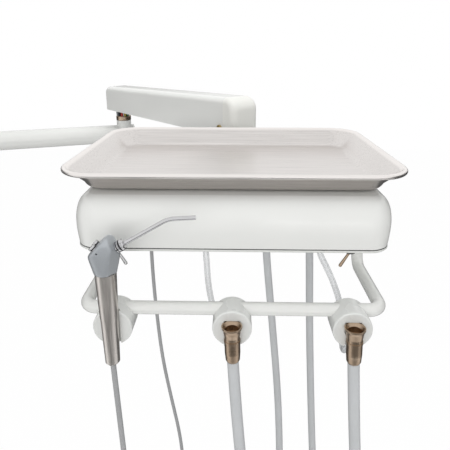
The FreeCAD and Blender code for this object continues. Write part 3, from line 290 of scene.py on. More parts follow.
class Value:
    """A shader socket that takes part in Python sums: each operator adds one Math node."""

    def __init__(self, nodes, socket):
        self.nodes = nodes
        self.socket = socket

    def math(self, operation, first, second):
        """Add a Math node."""
        return self.nodes.node("Math", {"operation": operation}, {0: first, 1: second})

    def __add__(self, other):
        return self.math("ADD", self, other)

    def __sub__(self, other):
        return self.math("SUBTRACT", self, other)

    def __rsub__(self, other):
        return self.math("SUBTRACT", other, self)

    def __mul__(self, other):
        return self.math("MULTIPLY", self, other)

    def __or__(self, other):
        return self.math("MAXIMUM", self, other)

    __radd__ = __add__
    __rmul__ = __mul__


class Nodes:
    """A node tree; node() adds any node to it."""

    def __init__(self, tree):
        self.tree = tree

    @classmethod
    def of_new_material(cls, name):
        """The empty tree of a new material."""
        material = bpy.data.materials.new(name)
        material.use_nodes = True
        made = cls(material.node_tree)
        made.material = material
        made.tree.nodes.clear()
        return made

    def end(self, kind, surface):
        """Add the output node of a material or world."""
        self.node("Output" + kind, None, {"Surface": surface}, out=None)

    def node(self, kind, settings=None, inputs=None, out=0):
        """Add a node: its settings first, then the values or links of its sockets."""
        made = self.tree.nodes.new("ShaderNode" + kind)
        for name, setting in (settings or {}).items():
            setattr(made, name, setting)
        for socket, value in (inputs or {}).items():
            self.feed(made.inputs[socket], value)
        return None if out is None else Value(self, made.outputs[out])

    def feed(self, socket, value):
        """Link a value to a socket, or set the socket."""
        if isinstance(value, Value):
            self.tree.links.new(value.socket, socket)
        else:
            socket.default_value = value

    def shown_rays(self):
        """One for camera, glossy and transmission rays, which see the white background."""
        path = self.node("LightPath", out="Is Camera Ray")
        outputs = path.socket.node.outputs
        return path | Value(self, outputs["Is Glossy Ray"]) | Value(self, outputs["Is Transmission Ray"])


class Finish(Nodes):
    """A material with one Principled shader, whose constants are set and whose other sockets are fed."""

    def __init__(self, name, **constants):
        self.material = bpy.data.materials.new(name + "_finish")
        self.material.use_nodes = True
        super().__init__(self.material.node_tree)
        self.shader = self.tree.nodes["Principled BSDF"]
        self.colour = tuple(getattr(bpy.context.scene.unit_finishes, name))
        self.set_all(**constants)

    def set_all(self, **values):
        """Set or feed the shader's sockets, named in lower case."""
        for name, value in values.items():
            self.feed(self.shader.inputs[name.replace("_", " ").title().replace("Ior", "IOR")], value)

    def tone(self, factor, tint=(1, 1, 1)):
        """The finish's colour made lighter or darker."""
        return (*(min(1, part * factor * shade) for part, shade in zip(self.colour, tint)), 1)

    def place(self):
        """Where a point lies in the object's own frame."""
        return self.node("TexCoord", out="Object")

    def noise(self, scale, detail=2.0, rough=0.5):
        """Noise in the object's own frame; three scales draw it out along an axis."""
        place = self.place()
        if isinstance(scale, tuple):
            place = self.node("VectorMath", {"operation": "MULTIPLY"}, {0: place, 1: scale})
            scale = 1
        return self.node(
            "TexNoise", None, {"Vector": place, "Scale": scale, "Detail": detail, "Roughness": rough})

    def cells(self, scale):
        """Small cells in the object's own frame."""
        return self.node("TexVoronoi", None, {"Vector": self.place(), "Scale": scale})

    def spread(self, value, low, high):
        """Stretch the part of a value between two levels to the whole range."""
        return self.node("MapRange", None, {"Value": value, "From Min": low, "From Max": high})

    def mix(self, factor, first, second):
        """A colour between two colours, which are the Mix node's sockets 6, 7 and 2."""
        return self.node("Mix", {"data_type": "RGBA"}, {0: factor, 6: first, 7: second}, out=2)

    def tones(self, factor, low, high):
        """A colour between two tones of the finish's colour."""
        return self.mix(factor, self.tone(low), self.tone(high))

    def bump(self, height, strength, distance):
        """Raise the surface by a height."""
        made = self.node("Bump", None, {"Height": height, "Strength": strength, "Distance": distance})
        self.set_all(normal=made)


def coated(name, gloss, peel_scale, peel):
    """White coat or moulding: faint clouds, uneven gloss and orange peel."""
    made = Finish(name, coat_weight=0.25, coat_roughness=0.12, ior=1.5)
    clouds = made.noise(11.0, detail=3.0)
    marks = made.noise(40.0)
    made.set_all(base_color=made.tones(made.spread(clouds, 0.3, 0.7), 0.985, 1.01),
                 roughness=gloss + 0.06 * marks)
    made.bump(made.noise(peel_scale, detail=1.0), strength=peel, distance=0.0003)
    return made.material


def brushed(name, along, rough, rim=None):
    """Brushed steel: fine lines along one axis, soft clouds of wear, and a painted highlight that lightens the
    rim.
    """
    made = Finish(name, metallic=1.0)
    lines = made.noise(tuple(9.0 if part else 900.0 for part in along), detail=4.0, rough=0.65)
    fine = made.noise(tuple(24.0 if part else 3200.0 for part in along))
    clouds = made.noise(14.0, detail=3.0)
    grain = 0.65 * lines + 0.35 * fine
    colour = made.tones(made.spread(grain, 0.35, 0.65), 0.86, 1.1)
    if rim:
        # painted highlight: the colour turns lighter over the rim's upper half, by height
        height = made.node("SeparateXYZ", None, {"Vector": made.place()}, out="Z")
        colour = made.mix(made.spread(height, *rim), colour, made.tone(1.2))
    made.set_all(base_color=colour, roughness=rough + 0.1 * made.spread(lines, 0.3, 0.7) + 0.06 * clouds)
    made.bump(grain, strength=0.03, distance=0.0001)
    return made.material


def machined(name, rough, swing=0.1):
    """Machined or polished metal: smudges and a slight change of tone."""
    made = Finish(name, metallic=1.0)
    clouds = made.noise(60.0, detail=4.0, rough=0.6)
    fine = made.noise(900.0)
    made.set_all(base_color=made.tones(clouds, 0.9, 1.08),
                 roughness=rough + swing * made.spread(clouds, 0.35, 0.7))
    made.bump(fine, strength=0.04, distance=0.0001)
    return made.material


def cast(name):
    """Satin cast metal with a fine sparkle."""
    made = Finish(name, metallic=0.55, coat_weight=0.15, coat_roughness=0.3)
    grains = made.cells(2600.0)
    clouds = made.noise(45.0, detail=3.0)
    made.set_all(base_color=made.tones(grains, 0.9, 1.12), roughness=0.36 + 0.14 * clouds)
    made.bump(grains, strength=0.08, distance=0.0001)
    return made.material


def tinted_bronze(name):
    """Bronze-tinted plating, worn paler in clouds, with faint turning rings."""
    made = Finish(name, metallic=1.0)
    clouds = made.noise(130.0, detail=4.0, rough=0.6)
    rings = made.noise((40.0, 40.0, 1500.0))
    worn = made.spread(clouds, 0.55, 0.75)
    made.set_all(base_color=made.mix(worn, made.tone(0.92), made.tone(1.35, tint=(1, 1.05, 1.1))),
                 roughness=0.2 + 0.12 * rings + 0.08 * clouds)
    made.bump(rings, strength=0.08, distance=0.0001)
    return made.material


def silicone(name):
    """Hose: satin silicone with faint length lines and handling marks."""
    made = Finish(name, coat_weight=0.12, coat_roughness=0.25, ior=1.42)
    clouds = made.noise(26.0, detail=4.0, rough=0.6)
    lines = made.noise((420.0, 420.0, 6.0))
    made.set_all(base_color=made.tones(made.spread(clouds, 0.3, 0.7), 0.95, 1.04),
                 roughness=0.36 + 0.16 * clouds + 0.06 * lines)
    made.bump(lines, strength=0.06, distance=0.0002)
    return made.material


def clear_vinyl(name):
    """Clear tube, slightly hazy: painted shade greys its colour towards the edges seen edge-on, where it is also
    more opaque.
    """
    made = Finish(name, ior=1.48, coat_weight=0.3, coat_roughness=0.05)
    haze = made.noise(40.0)
    edge = made.node("LayerWeight", None, {"Blend": 0.35}, out="Facing")
    # painted shade: the colour darkens where the tube is seen edge-on
    made.set_all(base_color=made.tones(edge, 1.0, 0.42), alpha=0.12 + 0.08 * haze + 0.55 * edge,
                 roughness=0.1 + 0.06 * haze)
    return made.material


def rubber(name, rough=0.62):
    """Matt black rubber or acetal."""
    made = Finish(name, ior=1.48)
    specks = made.noise(700.0, detail=3.0, rough=0.6)
    made.set_all(base_color=made.tones(specks, 0.8, 1.4), roughness=rough + 0.14 * specks)
    made.bump(specks, strength=0.15, distance=0.0002)
    return made.material


def dyed(name):
    """Glossy dyed tube."""
    made = Finish(name, ior=1.46)
    clouds = made.noise(160.0, detail=3.0)
    made.set_all(base_color=made.tones(clouds, 0.85, 1.15), roughness=0.26 + 0.16 * clouds)
    return made.material


# what makes each finish, with its own values
FINISHES = {
    "white_paint": (coated, dict(gloss=0.2, peel_scale=520.0, peel=0.02)),
    "white_plastic": (coated, dict(gloss=0.22, peel_scale=1100.0, peel=0.02)),
    "cream_plastic": (coated, dict(gloss=0.26, peel_scale=1100.0, peel=0.02)),
    "white_plate": (coated, dict(gloss=0.36, peel_scale=700.0, peel=0.03)),
    "holder": (coated, dict(gloss=0.24, peel_scale=900.0, peel=0.015)),
    "tray_steel": (brushed, dict(along=(1, 0, 0), rough=0.23, rim=PAINTED_RIM_HIGHLIGHT)),
    "handle_steel": (brushed, dict(along=(0, 0, 1), rough=0.26)),
    "steel": (machined, dict(rough=0.24)),
    "alloy": (machined, dict(rough=0.34)),
    "chrome": (machined, dict(rough=0.05, swing=0.08)),
    "brass": (machined, dict(rough=0.3)),
    "cast_grey": (cast, {}),
    "bronze": (tinted_bronze, {}),
    "hose_grey": (silicone, {}),
    "line_grey": (silicone, {}),
    "clear": (clear_vinyl, {}),
    "black_rubber": (rubber, {}),
    "bush": (rubber, dict(rough=0.4)),
    **{tube: (dyed, {}) for tube in SUPPLY},
}


def finish(name):
    """The named finish, made when it is first asked for."""
    maker, values = FINISHES[name]
    return bpy.data.materials.get(name + "_finish") or maker(name, **values)


def put(name, data):
    """A new object in the scene."""
    made = bpy.data.objects.new(name, data)
    bpy.context.scene.collection.objects.link(made)
    return made


def mesh_of(name, made):
    """A mesh from what was modelled, smooth up to clear edges."""
    bmesh.ops.recalc_face_normals(made, faces=made.faces)
    for face in made.faces:
        face.smooth = True
    mesh = bpy.data.meshes.new(name)
    made.to_mesh(mesh)
    made.free()
    mesh.set_sharp_from_angle(angle=SHARP)
    return mesh


def spline_points(route):
    """Points along the smooth spline that the route's points control."""
    curve = bpy.data.curves.new("route", "CURVE")
    curve.dimensions = "3D"
    curve.resolution_u = ROUTE_STEPS
    spline = curve.splines.new("NURBS")
    spline.points.add(len(route) - 1)
    for spot, place in zip(spline.points, route):
        spot.co = (*(HEAD + Vector(place)), 1)
    spline.order_u = 3
    spline.use_endpoint_u = True
    guide = put("route", curve)
    bpy.context.view_layer.update()
    mesh = bpy.data.meshes.new_from_object(guide)
    points = [vertex.co.copy() for vertex in mesh.vertices]
    bpy.data.objects.remove(guide)
    bpy.data.meshes.remove(mesh)
    return points


def rings_along(made, points, radius, sides):
    """Rings of vertices along the points, with no twist between them."""
    heading = (points[1] - points[0]).normalized()
    across = heading.orthogonal().normalized()
    angles = [math.tau * step / sides for step in range(sides)]
    rings = []
    for index, spot in enumerate(points):
        ahead = (points[min(index + 1, len(points) - 1)] - points[max(index - 1, 0)]).normalized()
        across = heading.rotation_difference(ahead) @ across
        heading = ahead
        upward = heading.cross(across)
        rings.append([made.verts.new(spot + radius * (math.cos(turn) * across + math.sin(turn) * upward))
                      for turn in angles])
    return rings


def bridge(made, ring, following, band=0):
    """Faces between two rings."""
    for step in range(len(ring)):
        after = (step + 1) % len(ring)
        corners = (ring[step], ring[after], following[after], following[step])
        made.faces.new(corners).material_index = band


def loft(made, rings, bands=()):
    """Faces from each ring to the next; bands gives the finish of each."""
    for index, (ring, following) in enumerate(zip(rings, rings[1:])):
        bridge(made, ring, following, bands[index] if bands else 0)


def close_ends(made, rings):
    """Faces over the first and the last ring."""
    made.faces.new(rings[0])
    made.faces.new(rings[-1])


def rounded_ring(made, box, inset, bend, height, steps):
    """A ring of vertices round a box's outline, drawn in and with rounded corners."""
    low, high = box
    ring = []
    for quarter, (right, rear) in enumerate(((1, 1), (0, 1), (0, 0), (1, 0))):
        x = high.x - inset - bend if right else low.x + inset + bend
        y = high.y - inset - bend if rear else low.y + inset + bend
        for step in range(steps + 1):
            turn = math.pi / 2 * (quarter + step / steps)
            ring.append(made.verts.new((x + bend * math.cos(turn), y + bend * math.sin(turn), height)))
    return ring


def tube_mesh(name, points, radius, sides, bore=None):
    """A round hose along the points; with a bore it is hollow."""
    made = bmesh.new()
    outer = rings_along(made, points, radius, sides)
    if bore:
        inner = rings_along(made, points, bore, sides)
        loft(made, outer)
        loft(made, inner)
        for end in (0, -1):
            bridge(made, outer[end], inner[end])
    else:
        loft(made, outer)
        close_ends(made, outer)
    return mesh_of(name, made)


def turned_mesh(name, profile, place, axis, sides=TURNED_SIDES, bands=(), ridge=None):
    """A profile of (radius, height) turned about an axis; ridge gives what is added to a radius."""
    made = bmesh.new()
    turn = UP.rotation_difference(Vector(axis).normalized()).to_matrix()
    rings = []
    for radius, height in profile:
        ring = []
        for step in range(sides):
            angle = math.tau * step / sides
            reach = radius + (ridge(radius, height, step) if ridge else 0)
            spot = Vector((reach * math.cos(angle), reach * math.sin(angle), height))
            ring.append(made.verts.new(place + turn @ spot))
        rings.append(ring)
    loft(made, rings, bands)
    close_ends(made, rings)
    return mesh_of(name, made)


def button_seat(sizes, node, outward):
    """Where a button's axis meets the syringe's slope."""
    low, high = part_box(node)
    return (low + high) / 2 - outward * (sizes.button_proud - sizes.button_grip) / 2


def dress(made, body, node=None, *finishes):
    """Give a new piece its finishes and body, and hide the node that it stands for."""
    for name in finishes:
        made.data.materials.append(finish(name))
    if node:
        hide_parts(node)
    if body:
        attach(made, body)
    return made


class UNIT_OT_studio(bpy.types.Operator):
    """Make the floor, the lights and the camera"""

    bl_idname = "delivery_unit.studio"
    bl_label = "Studio"

    def execute(self, context):
        studio = context.scene.unit_studio
        self.place_camera(context.scene, studio)
        self.light(context.scene, studio)
        self.hang_flags(studio)
        self.lay_floor(studio)
        return {"FINISHED"}

    def place_camera(self, scene, studio):
        """Put the camera at the photograph's viewing angle."""
        data = bpy.data.cameras.new("camera")
        data.lens = studio.lens
        data.shift_y = studio.shift
        camera = put("camera", data)
        camera.location = HEAD + Vector(studio.camera_place)
        camera.rotation_euler = (math.pi / 2 - studio.camera_dip, 0, studio.camera_turn)
        scene.camera = camera
        scene.view_settings.view_transform = "Standard"

    def light(self, scene, studio):
        """Light from all round, and three soft lamps that metals don't mirror."""
        scene.world = bpy.data.worlds.new("studio")
        scene.world.use_nodes = True
        sky = Nodes(scene.world.node_tree)
        sky.tree.nodes.clear()
        strength = studio.ambient + (1 - studio.ambient) * sky.shown_rays()
        sky.end("World", sky.node("Background", None, {"Color": WHITE, "Strength": strength}))
        # name, power, place in the head's frame, width
        lamps = (("front", studio.front_power, (-0.25, -1.6, 0.25), 1.3),
                 ("top", studio.top_power, (0.1, 0.25, 1.3), 1.4),
                 ("side", studio.side_power, (1.2, -0.7, 0.3), 0.9))
        for name, power, place, wide in lamps:
            data = bpy.data.lights.new(name, "AREA")
            data.energy = power
            data.size = wide
            lamp = put(name, data)
            lamp.visible_glossy = False
            lamp.location = HEAD + Vector(place)
            lamp.rotation_euler = (-Vector(place)).to_track_quat("-Z", "Y").to_euler()

    def hang_flags(self, studio):
        """Dark cards and one bright strip outside the picture, which only reflections show."""
        # name, place in the head's frame, width and height, how much lighter, whether it lies level
        flags = (("behind", (0, 1.1, -0.45), (4.0, 1.2), 1.0, False),
                 ("ground", (0, 0.85, -0.82), (4.0, 1.5), 1.2, True),
                 ("above", (0, -0.05, 1.4), (7.0, 0.9), 11.5, True),
                 ("left", (-1.4, 0.6, -0.35), (1.2, 1.6), 1.0, False),
                 ("right", (1.3, 0.1, -0.35), (2.0, 1.6), 1.0, False),
                 ("camera", (0.05, -1.25, -0.38), (0.09, 1.0), 2.0, False),
                 ("below", (0, -0.8, -0.75), (2.2, 0.55), 1.5, False),
                 ("strip", (0.31, -1.25, -0.265), (0.44, 0.09), 45.0, False))
        for name, place, (wide, tall), lighter, level in flags:
            glow = Nodes.of_new_material("flag_" + name)
            shade = (*[studio.flag_shade * lighter] * 3, 1)
            glow.end("Material", glow.node("Emission", None, {"Color": shade}))
            flag = self.lay_sheet("flag_" + name, wide, tall, glow.material)
            flag.location = HEAD + Vector(place)
            if not level:
                flag.rotation_euler = (-Vector(place)).to_track_quat("Z", "Y").to_euler()
            for rays in ("camera", "diffuse", "transmission", "shadow"):
                setattr(flag, "visible_" + rays, False)

    def lay_floor(self, studio):
        """A pale floor that looks white and keeps the object's shadow."""
        pale = Nodes.of_new_material("pale_floor")
        matt = pale.node("BsdfDiffuse", None, {"Color": (*studio.floor_colour, 1)})
        white = pale.node("Emission", None, {"Color": WHITE, "Strength": 1})
        shown = studio.floor_glow * pale.shown_rays()
        pale.end("Material", pale.node("MixShader", None, {0: shown, 1: matt, 2: white}))
        floor = self.lay_sheet("floor", studio.floor_wide, studio.floor_wide, pale.material)
        floor.location = (HEAD.x, HEAD.y, CAD_BOX[0][2] - studio.floor_drop)

    def lay_sheet(self, name, wide, tall, material):
        """A flat sheet of the stage."""
        made = bmesh.new()
        bmesh.ops.create_grid(made, x_segments=1, y_segments=1, size=0.5)
        bmesh.ops.scale(made, vec=(wide, tall, 1), verts=made.verts)
        sheet = put(name, mesh_of(name, made))
        sheet.data.materials.append(material)
        return sheet


class UNIT_OT_finishes(bpy.types.Operator):
    """Give every carried-over part its finish"""

    bl_idname = "delivery_unit.finishes"
    bl_label = "Finishes"

    def execute(self, context):
        for node, slot in SLOT_OF.items():
            if slot not in FINISHES:
                continue
            part = frame["nodes"][node]
            if not part.material_slots:
                part.data.materials.append(None)
            for held in part.material_slots:
                held.material = finish(slot)
        return {"FINISHED"}


class UNIT_OT_hoses(bpy.types.Operator):
    """Make the three hanging hoses, which run from the head down to their instruments"""

    bl_idname = "delivery_unit.hoses"
    bl_label = "Hoses"

    def execute(self, context):
        sizes = context.scene.unit_cords
        ends = (("syringe_hose", sizes.line, "syringe", "syringe_handle"),
                ("mid_hose", sizes.hose, "terminal_mid", "terminal_mid_skirt"),
                ("right_hose", sizes.hose, "terminal_right", "terminal_right_skirt"))
        for node, diameter, body, tool in ends:
            points = spline_points(ROUTES[node])
            made = put(node + "_cord", tube_mesh(node + "_cord", points, diameter / 2, sizes.sides))
            dress(made, None, node, SLOT_OF[node])
            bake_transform(made)
        return {"FINISHED"}


class UNIT_OT_clear_tubes(bpy.types.Operator):
    """Make the two clear valve tubes under the base plate"""

    bl_idname = "delivery_unit.clear_tubes"
    bl_label = "Clear tubes"

    def execute(self, context):
        sizes = context.scene.unit_cords
        radius = sizes.clear / 2
        for node in ("clear_tube_mid", "clear_tube_right"):
            points = spline_points(ROUTES[node])
            mesh = tube_mesh(node + "_cord", points, radius, sizes.sides, radius - sizes.clear_wall)
            made = dress(put(node + "_cord", mesh), "head", node, SLOT_OF[node])
        return {"FINISHED"}


class UNIT_OT_syringe_fittings(bpy.types.Operator):
    """Make the syringe's two buttons and its knurled nut"""

    bl_idname = "delivery_unit.syringe_fittings"
    bl_label = "Syringe fittings"

    def execute(self, context):
        sizes = context.scene.unit_fittings
        self.knurl_nut(sizes)
        for node, joint in (("air_button", "air_press"), ("water_button", "water_press")):
            self.turn_button(sizes, node, -Vector(JOINTS[joint]["axis"]))
        return {"FINISHED"}

    def knurl_nut(self, sizes):
        """A nut with a groove and a grip, of which one face in three lies deeper."""
        r, long, deep = sizes.nut_r, sizes.nut_long, sizes.knurl_deep
        bore, groove, shoulder = 0.4 * r, 0.2 * long, 0.9 * long
        faces = 3
        profile = [(bore, 0), (0.9 * r, 0), (r, 0.06 * long), (r, 0.16 * long), (r - deep, groove)]
        profile += [(r, share * long) for share in (0.26, 0.45, 0.64, 0.82)]
        profile += [(0.97 * r, shoulder), (0.8 * r, long), (bore, long)]
        dark = (0, 0, 0, 1, 1, 0, 1, 0, 0, 0, 0)

        def ridge(radius, height, step):
            ribbed = radius == r and groove < height < shoulder
            return -deep if ribbed and step % faces == 0 else 0

        mesh = turned_mesh("tip_nut_knurled", profile, Vector(JOINTS["tip_spin"]["pos_m"]),
                           JOINTS["tip_spin"]["axis"], faces * sizes.knurls, dark, ridge)
        dress(put("tip_nut_knurled", mesh), "syringe", "tip_nut", "chrome", "black_rubber")

    def turn_button(self, sizes, node, outward):
        """A button with a dark groove at its foot and a dished top."""
        r, top, foot = sizes.button_r, sizes.button_proud, -sizes.button_grip
        profile = [(0.3 * r, foot), (r, foot), (r, 0.1 * top), (0.9 * r, 0.16 * top), (0.9 * r, 0.4 * top),
                   (r, 0.46 * top), (r, 0.72 * top), (0.97 * r, 0.86 * top), (0.88 * r, 0.97 * top),
                   (0.78 * r, top), (0.6 * r, 0.97 * top), (0.3 * r, 0.93 * top), (0.05 * r, 0.92 * top)]
        dark = (0, 0, 1, 1, 1, 0, 0, 0, 0, 0, 0, 0)
        mesh = turned_mesh(node + "_cap", profile, button_seat(sizes, node, outward), outward, bands=dark)
        dress(put(node + "_cap", mesh), node, node, "chrome", "black_rubber")


class UNIT_OT_syringe_body(bpy.types.Operator):
    """Make the syringe's cast body and the steel neck under it"""

    bl_idname = "delivery_unit.syringe_body"
    bl_label = "Syringe body"

    # the sides widen a little beyond the widest place
    flare = 1.1
    # power of the outline at the foot, where it is round, and what it gains by the widest place
    round_power, squarer = 2, 0.5
    # which way the flats beside the tip face: right, front or rear, and up
    flat_facing = (0.78, 0.6, -0.17)
    # how often the stretch in which a ray meets the skin is halved
    halvings = 15

    def execute(self, context):
        sizes = context.scene.unit_syringe
        small = context.scene.unit_fittings
        self.tip, self.facing = Vector(JOINTS["tip_spin"]["pos_m"]), Vector(JOINTS["tip_spin"]["axis"])
        self.right = Vector((math.cos(sizes.lean), 0, math.sin(sizes.lean)))
        self.upward = Vector((-self.right.z, 0, self.right.x))
        self.origin = self.tip - self.right * sizes.tip_out - self.upward * sizes.tip_up
        self.slope = -Vector(JOINTS["air_press"]["axis"])
        seats = [button_seat(small, node, self.slope) for node in ("air_button", "water_button")]
        self.seat = seats[0]
        body = dress(put("syringe_body_cast", self.cast_mesh(sizes)), "syringe", "syringe_body", "cast_grey")
        for seat in seats:
            self.bore(body, seat, self.slope, small.button_r + sizes.play, 2 * small.button_grip)
        self.bore(body, self.tip, self.facing, sizes.tip_bore + sizes.play, sizes.tip_deep)
        ahead = Vector((0, -1, 0))
        dimple = self.origin + self.upward * sizes.dimple_up + self.right * sizes.dimple_out
        self.bore(body, dimple + ahead * sizes.side_deep, ahead, sizes.dimple_r, sizes.dimple_deep)
        self.turn_neck(sizes)
        return {"FINISHED"}

    def turn_neck(self, sizes):
        """The steel neck, a little wider towards the body."""
        r, low, top = sizes.neck_r, sizes.neck_low, sizes.foot_up
        profile = [(0.9 * r, low), (r, low), (1.004 * r, low + 0.4 * (top - low)), (1.02 * r, top),
                   (0.9 * r, top)]
        neck = turned_mesh("syringe_neck", profile, self.origin, self.upward, sizes.neck_sides)
        dress(put("syringe_neck", neck), "syringe", None, "handle_steel")

    def outside(self, sizes, spot):
        """How far a point lies outside the body; less than zero inside it."""
        offset = spot - self.origin
        x, y, z = offset.dot(self.right), abs(offset.y), offset.dot(self.upward)
        share = min(max((z - sizes.foot_up) / (sizes.side_up - sizes.foot_up), 0), self.flare)
        wide = sizes.foot_r + (sizes.side_r - sizes.foot_r) * share
        deep = sizes.foot_r + (sizes.side_deep - sizes.foot_r) * share
        power = self.round_power + self.squarer * share
        column = wide * (((abs(x) / wide) ** power + (y / deep) ** power) ** (1 / power) - 1)
        dome = z + y * y / (2 * sizes.top_bend) - sizes.top_up
        faces = (column, (spot - self.seat).dot(self.slope), (spot - self.tip).dot(self.facing), dome)
        joined = sizes.soft * math.log(sum(math.exp(face / sizes.soft) for face in faces))
        right, aside, up = self.flat_facing
        flat = right * x + aside * y + up * (z - sizes.side_up) - sizes.flat_out
        return max(joined, flat, sizes.foot_up - z)

    def cast_mesh(self, sizes):
        """The body's skin: where rays from its heart leave it."""
        made = bmesh.new()
        heart = self.origin + self.upward * sizes.side_up
        rings = []
        for row in range(1, sizes.rows):
            rise = math.pi * (row / sizes.rows - 0.5)
            ring = []
            for step in range(sizes.sides):
                turn = math.tau * step / sizes.sides
                ray = Vector((math.cos(rise) * math.cos(turn), math.cos(rise) * math.sin(turn),
                              math.sin(rise)))
                near, far = 0.0, 2 * sizes.side_r
                for _ in range(self.halvings):
                    middle = (near + far) / 2
                    if self.outside(sizes, heart + ray * middle) < 0:
                        near = middle
                    else:
                        far = middle
                ring.append(made.verts.new(heart + ray * near))
            rings.append(ring)
        loft(made, rings)
        close_ends(made, rings)
        return mesh_of("syringe_body_cast", made)

    def bore(self, body, place, axis, radius, deep):
        """Cut a round hole into the body."""
        tool = put("bore", turned_mesh("bore", [(radius, -deep), (radius, deep)], place, axis))
        cut = body.modifiers.new("bore", "BOOLEAN")
        cut.operation, cut.solver, cut.object = "DIFFERENCE", "EXACT", tool
        seen = body.evaluated_get(bpy.context.evaluated_depsgraph_get())
        mesh = bpy.data.meshes.new_from_object(seen)
        body.modifiers.remove(cut)
        body.data = mesh
        bpy.data.objects.remove(tool)


class UNIT_OT_tray(bpy.types.Operator):
    """Make the pressed tray with its rolled rim"""

    bl_idname = "delivery_unit.tray"
    bl_label = "Tray"

    # slope of the inner wall, faces in the bend at its foot, and degrees round the rolled rim
    slope = math.radians(45)
    bend_steps = 6
    rolled = range(45, 301, 15)

    def execute(self, context):
        sizes = context.scene.unit_tray
        made = bmesh.new()
        rings = [self.outline(made, sizes, inset, TRAY_HIGH.z + height)
                 for inset, height in self.profile(sizes, TRAY_HIGH.z - TRAY_LOW.z)]
        loft(made, rings)
        close_ends(made, rings)
        dress(put("tray_pressed", mesh_of("tray_pressed", made)), "tray", "tray", "tray_steel")
        return {"FINISHED"}

    def profile(self, sizes, tall):
        """Insets and heights from the floor over the wall and the bead to the underside."""
        bead, sheet, floor, slope = sizes.bead_r, sizes.sheet, sizes.sheet - tall, self.slope
        turns = [slope * step / self.bend_steps for step in range(self.bend_steps + 1)]
        top_in = 2 * bead + sheet
        drop = -floor - sizes.bend * (1 - math.cos(slope)) - bead
        bend_in = top_in + drop / math.tan(slope) + sizes.bend * math.sin(slope)
        inner = [(2 * sizes.wall_in, floor)]
        inner += [(bend_in - sizes.bend * math.sin(turn), floor + sizes.bend * (1 - math.cos(turn)))
                  for turn in turns]
        inner += [(top_in + 0.3 * sheet, -bead + 0.2 * sheet), (top_in - 0.4 * sheet, 0.6 * sheet - bead)]
        rim = [(bead * (1 + math.cos(turn)), bead * (math.sin(turn) - 1))
               for turn in map(math.radians, self.rolled)]
        fall, foot = bead + 2 * sheet, sizes.foot_bend
        foot_in = sizes.wall_in - (sizes.wall_in - top_in) / tall * foot
        outer = [(top_in + sheet, -fall), (foot_in, foot - tall)]
        outer += [(foot_in + foot * math.sin(turn), foot * (1 - math.sin(turn)) ** 2 - tall)
                  for turn in turns[1:]]
        return inner + rim + outer + [(2 * sizes.wall_in, -tall)]

    def outline(self, made, sizes, inset, height):
        """A ring of vertices round the tray, drawn in from its rim."""
        share = min(inset / sizes.wall_in, 1)
        bend = sizes.rim_corner + share * (sizes.floor_corner - sizes.rim_corner)
        return rounded_ring(made, (TRAY_LOW, TRAY_HIGH), inset, bend, height, sizes.corner_steps)


class UNIT_OT_seam(bpy.types.Operator):
    """Make the edging of the base plate and the dark band over it, a painted shadow line under the cover"""

    bl_idname = "delivery_unit.seam"
    bl_label = "Seam"

    def execute(self, context):
        sizes = context.scene.unit_fittings
        plate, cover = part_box("base_plate"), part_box("head_cover")
        stand, back = Vector((sizes.edging_stand, 0, 0)), Vector((0, sizes.edging_in, 0))
        line = (Vector((plate[0].x, cover[0].y, 0)) - stand + back,
                Vector((plate[1].x, cover[1].y, 0)) + stand - back)
        low, top, tall = plate[0].z, plate[1].z, sizes.seam_tall
        bend, deep = sizes.edging_bend, sizes.seam_back
        # the bands keep a hair's breadth from what they touch
        hair = 0.1 * deep
        edging = ((line, 0, top - tall), (line, 0, low + 2 * bend), (line, bend, low + bend),
                  (plate, -hair, low + bend), (plate, -hair, top - tall))
        # painted shadow: a dark band where the shadow gap between cover and plate falls
        painted_shadow_line = ((line, deep, top - hair), (line, deep, top - tall + hair),
                (plate, -hair, top - tall + hair), (plate, -hair, top - hair))
        made = self.band(context, "plate_edging", edging, "white_plate")
        self.band(context, "plate_painted_shadow_line", painted_shadow_line, "black_rubber")
        return {"FINISHED"}

    def band(self, context, name, profile, colour):
        """A closed band round the plate, from outlines, insets and heights."""
        corner, steps = context.scene.unit_fittings.plate_corner, context.scene.unit_tray.corner_steps
        made = bmesh.new()
        rings = [rounded_ring(made, outline, inset, corner - inset, height, steps)
                 for outline, inset, height in profile]
        loft(made, rings + rings[:1])
        return dress(put(name, mesh_of(name, made)), "head", None, colour)


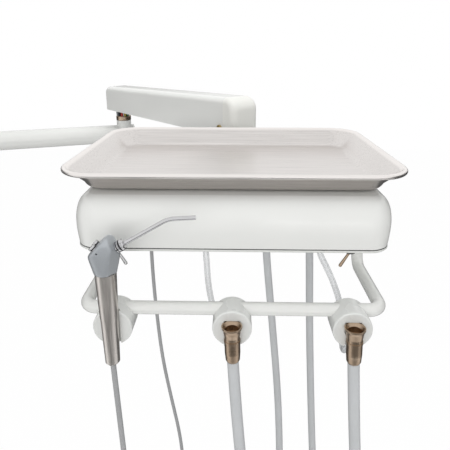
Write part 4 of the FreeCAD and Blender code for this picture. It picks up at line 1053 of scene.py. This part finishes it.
class UNIT_OT_arm_trim(bpy.types.Operator):
    """Make the coloured supply tubes at the hub"""

    bl_idname = "delivery_unit.arm_trim"
    bl_label = "Arm trim"

    def execute(self, context):
        sizes = context.scene.unit_fittings
        low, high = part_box("supply_tubes")
        hub = Vector(JOINTS["arm_swivel"]["pos_m"])
        across = JOINTS["arm_lift"]["axis"]
        first = sizes.supply_first + math.atan2(across[0], -across[1])
        steps = 8
        shares = [step / steps for step in range(steps + 1)]
        for index, name in enumerate(SUPPLY):
            turn = first + index * sizes.supply_step
            out = Vector((math.cos(turn), math.sin(turn), 0))
            foot = Vector((hub.x, hub.y, low.z)) + out * sizes.supply_ring
            rise, bow = UP * (high.z - low.z), out * sizes.supply_bow
            points = [foot + rise * share + bow * math.sin(math.pi * share) for share in shares]
            mesh = tube_mesh(name, points, sizes.supply_r, sizes.supply_sides)
            dress(put(name, mesh), "arm_base", "supply_tubes", name)
        return {"FINISHED"}


class UNIT_PT_looks(bpy.types.Panel):
    """Steps that dress the unit"""

    bl_label = "Delivery unit"
    bl_idname = "UNIT_PT_looks"
    bl_space_type = "VIEW_3D"
    bl_region_type = "UI"
    bl_category = "Delivery unit"

    def draw(self, context):
        for step in STEPS:
            self.layout.operator(step.bl_idname)


STEPS = (UNIT_OT_studio, UNIT_OT_finishes, UNIT_OT_hoses, UNIT_OT_clear_tubes, UNIT_OT_syringe_fittings,
         UNIT_OT_syringe_body, UNIT_OT_tray, UNIT_OT_seam, UNIT_OT_arm_trim)
GROUPS = {"unit_studio": StudioSettings, "unit_finishes": FinishSettings, "unit_cords": CordSettings,
          "unit_fittings": FittingSettings, "unit_syringe": SyringeSettings, "unit_tray": TraySettings}


def register():
    """Add the settings, the steps and the panel to Blender."""
    for kind in (*GROUPS.values(), *STEPS, UNIT_PT_looks):
        bpy.utils.register_class(kind)
    for name, group in GROUPS.items():
        setattr(bpy.types.Scene, name, PointerProperty(type=group))


def unregister():
    """Take them away again."""
    for name in GROUPS:
        delattr(bpy.types.Scene, name)
    for kind in (UNIT_PT_looks, *reversed(STEPS), *GROUPS.values()):
        bpy.utils.unregister_class(kind)


def main():
    """Run the steps."""
    register()
    for step in STEPS:
        family, name = step.bl_idname.split(".")
        getattr(getattr(bpy.ops, family), name)()


if __name__ == "__main__":
    main()
